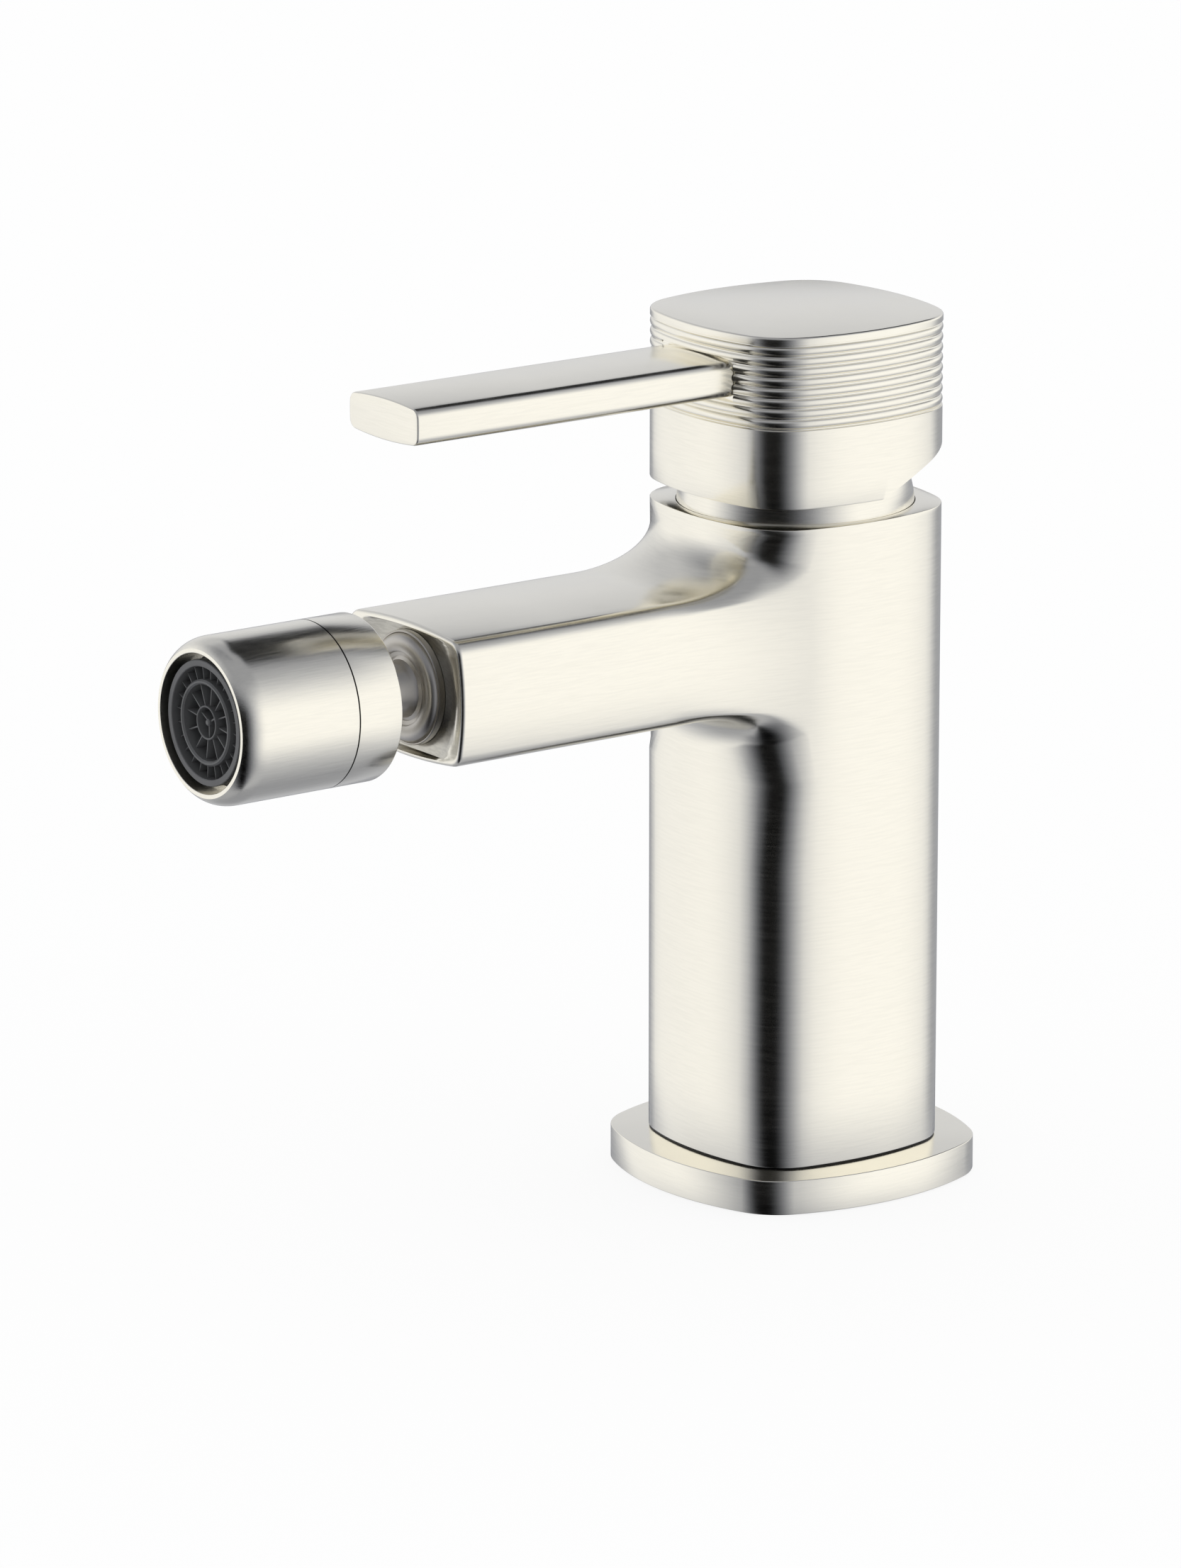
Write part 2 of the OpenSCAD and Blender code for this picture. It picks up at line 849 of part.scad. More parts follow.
module grub_screw() {
  color([0.30, 0.30, 0.32])
    translate([0, 0, grub_z])
      rotate([-90, 0, 0])
        difference() {
          rod(grub_r, spindle_af / 2, 10);
          translate([0, 0, 7.5])
            cylinder(r = 1.3, h = 4, $fn = 6);
        }
}

module grub_plug() {
  color(steel)
    translate([0, 0, grub_z])
      rotate([-90, 0, 0]) {
        rod(2.87, bh - 3, bh - 0.6);
        rod(2.6, bh - 1, bh - 0.2);
      }
}

// Ball joint between the spout and the nozzle
module ball_connector() {
  color(steel)
    along_spout()
      difference() {
        union() {
          rod(shank_r, shank_back, collar_back + 1);
          rod(collar_r, collar_back, collar_front - 0.6);
          translate([0, 0, collar_front - 0.6])
            cylinder(r1 = collar_r, r2 = collar_r - 0.6, h = 0.6);
          rod(neck_r + 1.6, collar_front - 1, collar_front + 0.8);
          rod(neck_r, collar_front, ball_y);
          translate([0, 0, ball_y])
            sphere(r = ball_r);
        }
        rod(bore_r, shank_back - 1, ball_front + 5);
        rod(ball_r, ball_front, ball_front + 5);
        translate([0, 0, 76.5])
          rotate_extrude()
            translate([7.1, 0])
              circle(r = 1, $fn = 32);
        // Dished face of the collar
        translate([0, 0, collar_front - 0.9])
          difference() {
            cylinder(r1 = collar_r - 2.2, r2 = collar_r - 1.4, h = 2);
            translate([0, 0, -1])
              cylinder(r = neck_r + 1.6, h = 4);
          }
      }
}

module connector_oring() {
  color(black)
    along_spout()
      intersection() {
        ring_cord(7.1, 0.95, 76.5);
        rod(shank_r + push_gap, 75, 78);
      }
}

module ball_liner() {
  color(white)
    along_spout()
      intersection() {
        difference() {
          translate([0, 0, ball_y])
            sphere(r = liner_r);
          translate([0, 0, ball_y])
            sphere(r = ball_r + run_gap);
        }
        rod(liner_r + 2, liner_back, liner_front);
      }
}

module ball_seal() {
  color(black)
    along_spout()
      difference() {
        rod(seal_r, seal_back, seal_front);
        translate([0, 0, ball_y])
          sphere(r = ball_r + run_gap);
      }
}

module nozzle_nut() {
  color(steel)
    along_spout()
      difference() {
        union() {
          rod(nozzle_r, nozzle_start + 0.4, nozzle_split);
          translate([0, 0, nozzle_start])
            cylinder(r1 = nozzle_r - 0.4, r2 = nozzle_r, h = 0.4);
        }
        translate([0, 0, ball_y])
          sphere(r = pocket_r);
        translate([0, 0, nozzle_start - 1])
          cylinder(r1 = 10, r2 = 8.4, h = 2.1);
        rod(spigot2_r + push_gap, spigot2_back - 0.1, nozzle_split + 1);
      }
}

module nozzle_housing() {
  color(steel)
    along_spout()
      difference() {
        union() {
          rod(spigot2_r, spigot2_back, nozzle_split + 1);
          rotate_extrude()
            polygon(concat(
              [[0, nozzle_split], [nozzle_r, nozzle_split], [nozzle_r, nozzle_end - nozzle_round]],
              [for (a = [8:9:nozzle_turn - 1])
                [nozzle_r - nozzle_in * (1 - cos(a)) / (1 - cos(nozzle_turn)),
                  nozzle_end - nozzle_round * (1 - sin(a) / sin(nozzle_turn))]],
              [[nozzle_r - nozzle_in, nozzle_end], [0, nozzle_end]]
            ));
        }
        translate([0, 0, ball_y])
          sphere(r = pocket_r);
        rod(pocket_r, spigot2_back - 1, seal_back - 0.5);
        rod(seal_r + push_gap, seal_back - 1, seal_front);
        rod(6.2, seal_front - 1, chamber_back + 1);
        rod(chamber_r, chamber_back, nozzle_end - 1);
        rod(mouth_r, mouth_back, nozzle_end + 1);
      }
}

// Aerator
module aerator_washer() {
  color(black)
    along_spout()
      tube(aerator_r - 0.1, 6.6, chamber_back, washer_front);
}

module aerator_screen() {
  color([0.75, 0.75, 0.74])
    along_spout()
      difference() {
        rod(aerator_r - 0.1, washer_front, screen_front);
        for (k = [1:3])
          for (i = [0:6 * k - 1])
            rotate([0, 0, i * 60 / k])
              translate([1.9 * k, 0, washer_front - 1])
                cylinder(r = 0.6, h = 4, $fn = 24);
      }
}

module spoke(r0, r1, w, z0, z1) {
  translate([r0, -w / 2, z0])
    cube([r1 - r0, w, z1 - z0]);
}

module aerator_body() {
  f = aerator_front;
  color(grey)
    along_spout() {
      tube(aerator_r, face_r - 1.3, screen_front, mouth_back - 0.1);
      tube(face_r, face_r - 1.15, screen_front, f);
      tube(7.35, 6.5, f - 4.6, f - 0.15);
      tube(2.95, 2.5, f - 4.6, f - 0.5);
      rod(0.62, f - 5.6, f - 0.6);
      difference() {
        rod(face_r - 0.6, screen_front + 1.4, f - 4.2);
        for (i = [0:11])
          rotate([0, 0, i * 30 + 15])
            translate([4.9, 0, screen_front])
              cylinder(r = 0.8, h = 8, $fn = 24);
        for (i = [0:23])
          rotate([0, 0, i * 15 + 7.5])
            translate([8.45, 0, screen_front])
              cylinder(r = 0.7, h = 8, $fn = 24);
      }
      for (i = [0:vane_count - 1])
        rotate([0, 0, i * 360 / vane_count])
          spoke(7.1, face_r - 0.6, 0.3, f - 4.4, f - 1.1);
      for (i = [0:spoke_count - 1])
        rotate([0, 0, i * 360 / spoke_count])
          spoke(2.7, 6.8, 0.4, f - 4.4, f - 1.1);
      for (i = [0:2])
        rotate([0, 0, 90 + i * 120])
          spoke(0, 2.8, 0.45, f - 4.4, f - 1.1);
    }
}

base_plate();
base_seal();
body_casting();
dome_cover();
dome_oring();
cartridge_nut();
cartridge_housing();
cartridge_base();
port_seal();
disc_seal();
fixed_disc();
moving_disc();
disc_carrier();
spindle_guide();
hot_stop_ring();
pivot_pin();
spindle();
handle_hood();
lever_bar();
lever_screw();
grub_screw();
grub_plug();
ball_connector();
connector_oring();
ball_liner();
ball_seal();
nozzle_nut();
nozzle_housing();
aerator_washer();
aerator_screen();
aerator_body();
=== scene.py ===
"""Bidet mixer: brushed nickel body with a blended spout, ribbed hood, flat lever and ball-jointed nozzle."""

import logging
import math
from dataclasses import dataclass, field
from enum import Enum
from typing import Any, Callable, Dict, Iterable, List, Optional, Sequence, Tuple, Union

import bmesh
import bpy
from mathutils import Matrix, Vector


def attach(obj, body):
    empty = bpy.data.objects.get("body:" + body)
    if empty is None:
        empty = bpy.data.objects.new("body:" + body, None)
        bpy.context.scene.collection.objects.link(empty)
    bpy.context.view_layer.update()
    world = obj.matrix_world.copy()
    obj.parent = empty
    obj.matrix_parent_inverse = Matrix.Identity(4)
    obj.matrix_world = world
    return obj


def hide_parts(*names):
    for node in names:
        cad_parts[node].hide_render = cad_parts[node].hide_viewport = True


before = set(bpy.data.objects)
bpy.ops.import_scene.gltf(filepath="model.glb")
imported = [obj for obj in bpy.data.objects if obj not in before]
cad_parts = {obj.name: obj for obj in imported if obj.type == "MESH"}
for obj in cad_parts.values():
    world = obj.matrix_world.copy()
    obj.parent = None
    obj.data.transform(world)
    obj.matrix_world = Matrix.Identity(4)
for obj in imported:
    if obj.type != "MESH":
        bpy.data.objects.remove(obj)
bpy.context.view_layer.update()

logging.basicConfig(level=logging.INFO, format="%(message)s")
LOG = logging.getLogger("bidet_mixer")

MM = 0.001
ROUND = 0.5523  # length of a curve's handle for a quarter circle, as a share of its radius
Point = Tuple[float, float, float]
Flat = Tuple[float, float]
Ring = List[Point]


# ---------------------------------------------------------------- node writing


class Signal:
    """A number on a node socket, with Python's operators for Math nodes."""

    def __init__(self, sheet: "Sheet", socket: bpy.types.NodeSocket) -> None:
        """Keep the sheet that the socket is on, and the socket itself."""
        self.sheet = sheet
        self.socket = socket

    def apply(self, kind: str, *others: "Operand") -> "Signal":
        """Add one Math node.

        Args:
            kind: Math node operation.
            others: Operands that follow this one.

        Returns:
            The node's output.
        """
        inputs: Dict[Any, Any] = {i: v for i, v in enumerate((self,) + others)}
        return self.sheet.add("ShaderNodeMath", {"operation": kind}, inputs).out()

    def __add__(self, other: "Operand") -> "Signal":
        """Sum."""
        return self.apply("ADD", other)

    __radd__ = __add__

    def __sub__(self, other: "Operand") -> "Signal":
        """Difference."""
        return self.apply("SUBTRACT", other)

    def __rsub__(self, other: float) -> "Signal":
        """Difference from a number."""
        return (self * -1.0) + other

    def __mul__(self, other: "Operand") -> "Signal":
        """Product."""
        return self.apply("MULTIPLY", other)

    __rmul__ = __mul__

    def __truediv__(self, other: "Operand") -> "Signal":
        """Quotient."""
        return self.apply("DIVIDE", other)

    def angle(self, other: "Operand") -> "Signal":
        """Arc tangent of this over the other."""
        return self.apply("ARCTAN2", other)

    def low(self, other: "Operand") -> "Signal":
        """Smaller of the two."""
        return self.apply("MINIMUM", other)

    def high(self, other: "Operand") -> "Signal":
        """Larger of the two."""
        return self.apply("MAXIMUM", other)

    def band(self, edge: float, full: float) -> "Signal":
        """Fade smoothly from 0 at edge to 1 at full."""
        node = self.sheet.add(
            "ShaderNodeMapRange",
            {"interpolation_type": "SMOOTHSTEP"},
            {"Value": self, "From Min": edge, "From Max": full},
        )
        return node.out("Result")

    def window(self, start: float, full: float, last: float, end: float) -> "Signal":
        """Fade in from start to full, and out again from last to end."""
        return self.band(start, full) * self.band(end, last)


Operand = Union[Signal, float]


class Placed:
    """A node on a sheet."""

    def __init__(self, sheet: "Sheet", node: bpy.types.Node) -> None:
        """Keep the sheet and the node."""
        self.sheet = sheet
        self.node = node

    def out(self, name: Union[str, int] = 0) -> Signal:
        """Give one output as a signal."""
        return Signal(self.sheet, self.node.outputs[name])


class Sheet:
    """A node tree that nodes are written on."""

    def __init__(self, tree: bpy.types.NodeTree) -> None:
        """Empty the tree and keep it."""
        self.tree = tree
        self.tree.nodes.clear()

    def add(
        self,
        kind: str,
        settings: Optional[Dict[str, Any]] = None,
        inputs: Optional[Dict[Any, Any]] = None,
    ) -> Placed:
        """Add any node.

        Args:
            kind: Blender's name of the node type.
            settings: Node settings.
            inputs: Values or signals of its sockets, by name or place.

        Returns:
            The node.
        """
        node = self.tree.nodes.new(kind)
        for key, value in (settings or {}).items():
            setattr(node, key, value)
        for key, value in (inputs or {}).items():
            if isinstance(value, Signal):
                self.tree.links.new(value.socket, node.inputs[key])
            else:
                node.inputs[key].default_value = value
        return Placed(self, node)


# -------------------------------------------------------------------- finishes


class Brushing(Enum):
    """Which way the brush ran over a piece, as pattern scales per metre."""

    LEVEL = (240.0, 240.0, 4200.0)
    ALONG_SPOUT = (3600.0, 260.0, 3600.0)
    SIDEWAYS = (260.0, 2600.0, 2600.0)


def scaled(values: Tuple[float, ...], share: float) -> Tuple[float, ...]:
    """Multiply a colour or a pattern scale."""
    return tuple(share * v for v in values)


def shader_of(material: bpy.types.Material) -> Sheet:
    """Open a material's node tree.

    Args:
        material: The material.

    Returns:
        Its emptied sheet.
    """
    material.use_nodes = True
    return Sheet(material.node_tree)


def noise(sheet: Sheet, place: Signal, scale: float, detail: float) -> Signal:
    """Add noise from 0 to 1, with a scale and a number of octaves."""
    inputs = {"Vector": place, "Scale": scale, "Detail": detail}
    return sheet.add("ShaderNodeTexNoise", None, inputs).out("Fac")


def blend(sheet: Sheet, share: Signal, first: Any, second: Any) -> Signal:
    """Blend two colours.

    Args:
        sheet: Sheet of the material.
        share: Share of the second colour.
        first: First colour or its signal.
        second: Second colour or its signal.

    Returns:
        The blended colour.
    """
    colours = [c + (1.0,) if isinstance(c, tuple) else c for c in (first, second)]
    inputs = {0: share, 6: colours[0], 7: colours[1]}
    return sheet.add("ShaderNodeMix", {"data_type": "RGBA"}, inputs).out(2)


def close_shader(sheet: Sheet, values: Dict[str, Any]) -> None:
    """Add the surface shader and the output.

    Args:
        sheet: Sheet of the material.
        values: Values or signals of the surface shader's sockets.
    """
    surface = sheet.add("ShaderNodeBsdfPrincipled", None, values)
    sheet.add("ShaderNodeOutputMaterial", None, {"Surface": surface.out()})


@dataclass(frozen=True)
class BrushedNickel:
    """Warm nickel with the fine lines of a brush.

    Attributes:
        name: Material name.
        brushing: Direction of the lines.
        tint: Colour of the metal.
        rough: Roughness between the lines.
        depth: Height of the lines in metres.
        painted_gap_shade: Axis, start and end in metres of a joint gap that gets a painted shade, near black.
        dish: The spout whose dished end has its grain run sideways and a painted shade that keeps it dark.
        dish_shade_share: Share of the tint left in the dish under its painted shade.
        strands: Share of the coarser lines.
        coarse: Scale of the coarser lines, as a share of the fine ones'.
        spread: How far the lines change the roughness.
        cloudy: How far a soft cloud changes it.
        shade: Darkest share of the tint between the lines.
    """

    name: str
    brushing: Brushing
    tint: Tuple[float, float, float] = (0.975, 0.94, 0.835)
    rough: float = 0.2
    depth: float = 0.000002
    painted_gap_shade: Optional[Tuple[str, float, float]] = None
    dish: Optional["SpoutForm"] = None
    dish_shade_share: float = 0.62
    strands: float = 0.35
    coarse: float = 0.37
    spread: float = 0.2
    cloudy: float = 0.04
    shade: float = 0.955

    def make(self) -> bpy.types.Material:
        """Build the material.

        Returns:
            The material.
        """
        material = bpy.data.materials.new(self.name)
        sheet = shader_of(material)
        place = sheet.add("ShaderNodeTexCoord").out("Object")
        lines = self._drawn(sheet, place, self.brushing.value, 3.0)
        strands = self._drawn(sheet, place, scaled(self.brushing.value, self.coarse), 1.0)
        cloud = noise(sheet, place, 55.0, 3.0)
        grain = lines * (1 - self.strands) + strands * self.strands
        if self.dish:
            hollow = self._hollow(sheet, place)
            grain = grain * (1 - hollow) + self._drawn(sheet, place, Brushing.SIDEWAYS.value, 2.0) * hollow
        rough = (grain - 0.5) * self.spread + (cloud - 0.5) * self.cloudy + self.rough
        shade = blend(sheet, grain.band(0.30, 0.66), scaled(self.tint, self.shade), self.tint)
        # Painted shade: the dished end's colour is painted darker, standing in for the shade it lies in
        # behind the nozzle.
        if self.dish:
            inner = scaled(self.tint, self.dish_shade_share)
            brushed = blend(sheet, grain.band(0.3, 0.7), scaled(inner, 0.8), inner)
            shade = blend(sheet, hollow, shade, brushed)
        # Painted shade: the narrow joint gap is painted near black in the base colour, for the shade that
        # falls in it.
        if self.painted_gap_shade:
            axis, low, high = self.painted_gap_shade
            along = sheet.add("ShaderNodeSeparateXYZ", None, {"Vector": place}).out(axis)
            edge = (high - low) * 0.12
            gap_shade_mask = along.band(low - edge, low + edge) * along.band(high + edge, high - edge)
            shade = blend(sheet, gap_shade_mask, shade, (0.02, 0.019, 0.017))
        bump = sheet.add("ShaderNodeBump", None, {"Strength": 1.0, "Distance": self.depth, "Height": grain})
        close_shader(sheet, {"Base Color": shade, "Metallic": 1.0, "Roughness": rough, "Normal": bump.out()})
        return material

    def _hollow(self, sheet: Sheet, place: Signal) -> Signal:
        """Mark the dished end of the spout.

        Args:
            sheet: Sheet of the material.
            place: Object coordinates.

        Returns:
            1 in the dish and 0 outside it.
        """
        form, outline = self.dish, self.dish.outline
        split = sheet.add("ShaderNodeSeparateXYZ", None, {"Vector": place})
        x, z = split.out("X"), split.out("Z") - form.z * MM
        depth = split.out("Y") + form.end * MM
        beside = (z * z) / (-2 * outline.rw * MM) + outline.w * MM - x.apply("ABSOLUTE")
        above = (x * x) / (-2 * outline.rh * MM) + outline.h * MM - z.apply("ABSOLUTE")
        reach = depth.window(-0.01 * MM, 0.12 * MM, 3.4 * MM, 3.6 * MM)
        return beside.low(above).band(0.95 * MM, 1.15 * MM) * reach

    def _drawn(self, sheet: Sheet, place: Signal, scale: Point, detail: float) -> Signal:
        """Noise with a scale of its own along each axis.

        Args:
            sheet: Sheet of the material.
            place: Object coordinates.
            scale: Frequency along X, Y and Z.
            detail: Octaves of the noise.

        Returns:
            Noise from 0 to 1.
        """
        drawn = sheet.add("ShaderNodeMapping", {"vector_type": "POINT"}, {"Vector": place, "Scale": scale})
        return noise(sheet, drawn.out(), 1.0, detail)


@dataclass(frozen=True)
class Plain:
    """A plain finish with a fine grain in its roughness and surface.

    Attributes:
        name: Material name.
        colour: Base colour.
        metallic: 1 for metal, 0 for the rest.
        rough: Mean roughness.
        spread: How far the roughness varies.
        grain: Pattern scale per metre.
        depth: Height of the grain in metres.
        shift: Darkest share of the base colour.
    """

    name: str
    colour: Tuple[float, float, float]
    metallic: float
    rough: float
    spread: float = 0.08
    grain: float = 900.0
    depth: float = 0.00001
    shift: float = 0.9

    def make(self) -> bpy.types.Material:
        """Build the material.

        Returns:
            The material.
        """
        material = bpy.data.materials.new(self.name)
        sheet = shader_of(material)
        place = sheet.add("ShaderNodeTexCoord").out("Object")
        fine, broad = noise(sheet, place, self.grain, 4.0), noise(sheet, place, self.grain / 11, 2.0)
        shade = blend(sheet, broad.band(0.3, 0.7), scaled(self.colour, self.shift), self.colour)
        bump = sheet.add("ShaderNodeBump", None, {"Strength": 1.0, "Distance": self.depth, "Height": fine})
        rough = (fine - 0.5) * self.spread + self.rough
        inputs = {"Base Color": shade, "Metallic": self.metallic, "Roughness": rough, "Normal": bump.out()}
        close_shader(sheet, inputs)
        return material


class Finishes:
    """Every finish of the mixer, made once."""

    def __init__(self) -> None:
        """Make the materials."""
        self.level = BrushedNickel("nickel_level", Brushing.LEVEL).make()
        # Painted shade at the gap between the body's foot and the plate.
        self.body = BrushedNickel(
            # Painted shade in the spout's dished end.
            "nickel_body", Brushing.LEVEL, depth=0.000005, painted_gap_shade=("Z", 0.0060, 0.00652), dish=SpoutForm()
        ).make()
        # Painted shade along the parting gap between the nozzle's two rings.
        self.along = BrushedNickel(
            "nickel_along", Brushing.ALONG_SPOUT, depth=0.00001, painted_gap_shade=("Y", -0.10214, -0.10186)
        ).make()
        self.polished = Plain(
            "nickel_polished", (0.58, 0.555, 0.51), 1.0, 0.34, 0.05, 700.0, 0.000002, 0.97
        ).make()
        self.brass = Plain("brass_turned", (0.80, 0.62, 0.32), 1.0, 0.28, 0.14).make()
        self.steel = Plain("steel_plain", (0.62, 0.62, 0.62), 1.0, 0.30, 0.12).make()
        self.rubber = Plain(
            "rubber_black", (0.035, 0.035, 0.035), 0.0, 0.62, 0.12, 1400.0, 0.00002, 0.8
        ).make()
        self.white = Plain("nylon_white", (0.84, 0.84, 0.81), 0.0, 0.42, 0.1, 1200.0, 0.00001, 0.95).make()
        self.grey = Plain("plastic_dark", (0.085, 0.087, 0.09), 0.0, 0.36, 0.1, 1500.0, 0.000012, 0.85).make()
        self.red = Plain("plastic_red", (0.55, 0.045, 0.04), 0.0, 0.40, 0.1, 1200.0, 0.00001, 0.9).make()
        self.ceramic = Plain(
            "ceramic_lapped", (0.86, 0.84, 0.78), 0.0, 0.22, 0.06, 1600.0, 0.000004, 0.96
        ).make()


# --------------------------------------------------------------------- shaping


@dataclass(frozen=True)
class Pillow:
    """An outline of four bulged sides and four round corners.

    Attributes:
        w: Half size along the first direction.
        h: Half size along the second direction.
        rw: Radius of the sides that stand at w.
        rh: Radius of the sides that stand at h.
        rc: Radius of the corners.
    """

    w: float
    h: float
    rw: float
    rh: float
    rc: float

    def inset(self, by: float) -> "Pillow":
        """Give the outline moved inwards by a distance."""
        return Pillow(self.w - by, self.h - by, self.rw - by, self.rh - by, max(self.rc - by, 0.05))

    def corner(self) -> Flat:
        """Find the first corner's centre.

        Returns:
            Its two coordinates.
        """
        ax, by = self.w - self.rw, self.h - self.rh
        ra, rb = self.rw - self.rc, self.rh - self.rc
        d = math.hypot(ax, by)
        ux, uy = -ax / d, by / d
        along = (ra * ra - rb * rb + d * d) / (2 * d)
        off = math.sqrt(max(ra * ra - along * along, 0.0))
        return ax + along * ux - off * uy, along * uy + off * ux

    def arcs(self) -> List[Tuple[float, float, float, float, float]]:
        """List the first quarter's arcs.

        Returns:
            Centre, radius and start and end angle of each.
        """
        cx, cy = self.corner()
        f1 = math.atan2(cy, cx - self.w + self.rw)
        f2 = math.atan2(cy - self.h + self.rh, cx)
        return [
            (self.w - self.rw, 0.0, self.rw, 0.0, f1),
            (cx, cy, self.rc, f1, f2),
            (0.0, self.h - self.rh, self.rh, f2, math.pi / 2),
        ]

    def ring(self, counts: Tuple[int, int, int]) -> List[Flat]:
        """Walk round the outline with a number of steps on each arc.

        Args:
            counts: Steps on the side, the corner and the next side.

        Returns:
            Points, starting on the first direction.
        """
        quarter: List[Flat] = []
        for (cx, cy, r, a, b), n in zip(self.arcs(), counts):
            turns = [a + (b - a) * i / n for i in range(n)]
            quarter += [(cx + r * math.cos(t), cy + r * math.sin(t)) for t in turns]
        quarter.append((0.0, self.h))
        back = [(-x, y) for x, y in reversed(quarter[:-1])]
        under = [(-x, -y) for x, y in quarter[1:]]
        last = [(x, -y) for x, y in reversed(quarter[1:-1])]
        return quarter + back + under + last

    def length(self) -> float:
        """Length of one quarter."""
        return sum(r * (b - a) for _, _, r, a, b in self.arcs())

    def at(self, s: float) -> Flat:
        """Find the point at a distance along the outline.

        Args:
            s: Distance from the first direction, anticlockwise.

        Returns:
            The point.
        """
        q = self.length()
        s %= 4 * q
        k, t = divmod(s, q)
        if k in (1, 3):
            t = q - t
        x, y = 0.0, self.h
        for cx, cy, r, a, b in self.arcs():
            if t <= r * (b - a):
                x, y = cx + r * math.cos(a + t / r), cy + r * math.sin(a + t / r)
                break
            t -= r * (b - a)
        return (x if k in (0, 3) else -x), (y if k in (0, 1) else -y)

    def side_end(self) -> Tuple[float, float, float]:
        """Find where the first side turns into its corner.

        Returns:
            Both coordinates and the angle there.
        """
        cx, _, r, _, turn = self.arcs()[0]
        return cx + r * math.cos(turn), r * math.sin(turn), turn


class Workpiece:
    """One mesh that grows from a ring by extrusion, in millimetres."""

    def __init__(self, name: str, ring: Sequence[Point]) -> None:
        """Add the first ring.

        Args:
            name: Name of the piece.
            ring: Its first ring.
        """
        deselect_all()
        bpy.ops.mesh.primitive_circle_add(vertices=len(ring), radius=0.01)
        self.obj = bpy.context.object
        self.obj.name = name
        self.obj.data.name = name
        bpy.ops.object.mode_set(mode="EDIT")
        self.mesh = bmesh.from_edit_mesh(self.obj.data)
        mark = self.mesh.verts.layers.int.new("place")
        self.mesh.verts.ensure_lookup_table()
        for i, vert in enumerate(self.mesh.verts):
            vert[mark] = i
        self._lay(ring)

    def _lay(self, ring: Sequence[Point]) -> None:
        """Put the selected ring's points in place."""
        self.mesh = bmesh.from_edit_mesh(self.obj.data)
        mark = self.mesh.verts.layers.int["place"]
        for vert in self.mesh.verts:
            if vert.select:
                vert.co = Vector(ring[vert[mark]]) * MM
        bmesh.update_edit_mesh(self.obj.data, loop_triangles=False, destructive=False)

    def step(self, ring: Sequence[Point]) -> None:
        """Extrude the selected ring and move it.

        Args:
            ring: Where its points go.
        """
        bpy.ops.mesh.extrude_region_move()
        self._lay(ring)

    def walk(self, rings: Iterable[Sequence[Point]]) -> None:
        """Extrude through several rings."""
        for ring in rings:
            self.step(ring)

    def cap(self) -> None:
        """Close the selected ring with one face."""
        bpy.ops.mesh.edge_face_add()

    def pick_faces(self, test: Callable[[Vector], bool]) -> None:
        """Select the faces whose middle, in millimetres, passes a test."""
        bpy.ops.mesh.select_mode(type="FACE")
        bpy.ops.mesh.select_all(action="DESELECT")
        self.mesh = bmesh.from_edit_mesh(self.obj.data)
        for face in self.mesh.faces:
            if test(face.calc_center_median() / MM):
                face.select_set(True)
        bmesh.update_edit_mesh(self.obj.data, loop_triangles=False, destructive=False)

    def close(self, merge: float = 0.002) -> bpy.types.Object:
        """Merge doubles, turn the faces outwards and leave edit mode.

        Args:
            merge: Merge distance in millimetres.

        Returns:
            The object.
        """
        bpy.ops.mesh.select_mode(type="VERT")
        bpy.ops.mesh.select_all(action="SELECT")
        bpy.ops.mesh.remove_doubles(threshold=merge * MM)
        bpy.ops.mesh.normals_make_consistent(inside=False)
        bpy.ops.object.mode_set(mode="OBJECT")
        return self.obj


def deselect_all() -> None:
    """Leave edit mode and deselect everything."""
    if bpy.context.mode != "OBJECT":
        bpy.ops.object.mode_set(mode="OBJECT")
    bpy.ops.object.select_all(action="DESELECT")


def make_active(obj: bpy.types.Object) -> None:
    """Select one object only and make it active."""
    deselect_all()
    obj.select_set(True)
    bpy.context.view_layer.objects.active = obj


def carve(obj: bpy.types.Object, cutter: bpy.types.Object) -> None:
    """Cut one solid from another.

    Args:
        obj: The piece.
        cutter: What is cut away; it is removed afterwards.
    """
    make_active(obj)
    cut = obj.modifiers.new("carve", "BOOLEAN")
    cut.operation = "DIFFERENCE"
    cut.solver = "EXACT"
    cut.object = cutter
    bpy.ops.object.modifier_apply(modifier=cut.name)
    bpy.data.objects.remove(cutter, do_unlink=True)


def join(obj: bpy.types.Object, parts: Sequence[bpy.types.Object]) -> None:
    """Join parts to a piece as they are."""
    make_active(obj)
    for part in parts:
        part.select_set(True)
    bpy.context.view_layer.objects.active = obj
    bpy.ops.object.join()


def dress(
    obj: bpy.types.Object, material: bpy.types.Material, body: str, node: str, angle: float = 32.0
) -> bpy.types.Object:
    """Shade a piece, and give it its finish and its body.

    Args:
        obj: The piece.
        material: Its finish.
        body: Body that it moves with.
        node: CAD node that it stands for.
        angle: Edges sharper than this, in degrees, stay sharp.

    Returns:
        The piece.
    """
    make_active(obj)
    bpy.ops.object.shade_smooth_by_angle(angle=math.radians(angle))
    obj.data.materials.clear()
    obj.data.materials.append(material)
    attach(obj, body)
    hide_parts(node)
    LOG.info("%s: %d faces, rides on %s", obj.name, len(obj.data.polygons), body)
    return obj


def level_ring(points: Sequence[Flat], z: float) -> Ring:
    """Lay an outline flat at a height."""
    return [(x, y, z) for x, y in points]


def bore_ring(points: Sequence[Flat], radius: float, z: float) -> Ring:
    """Push an outline's points onto a level circle about the Z axis."""
    return [(radius * x / math.hypot(x, y), radius * y / math.hypot(x, y), z) for x, y in points]


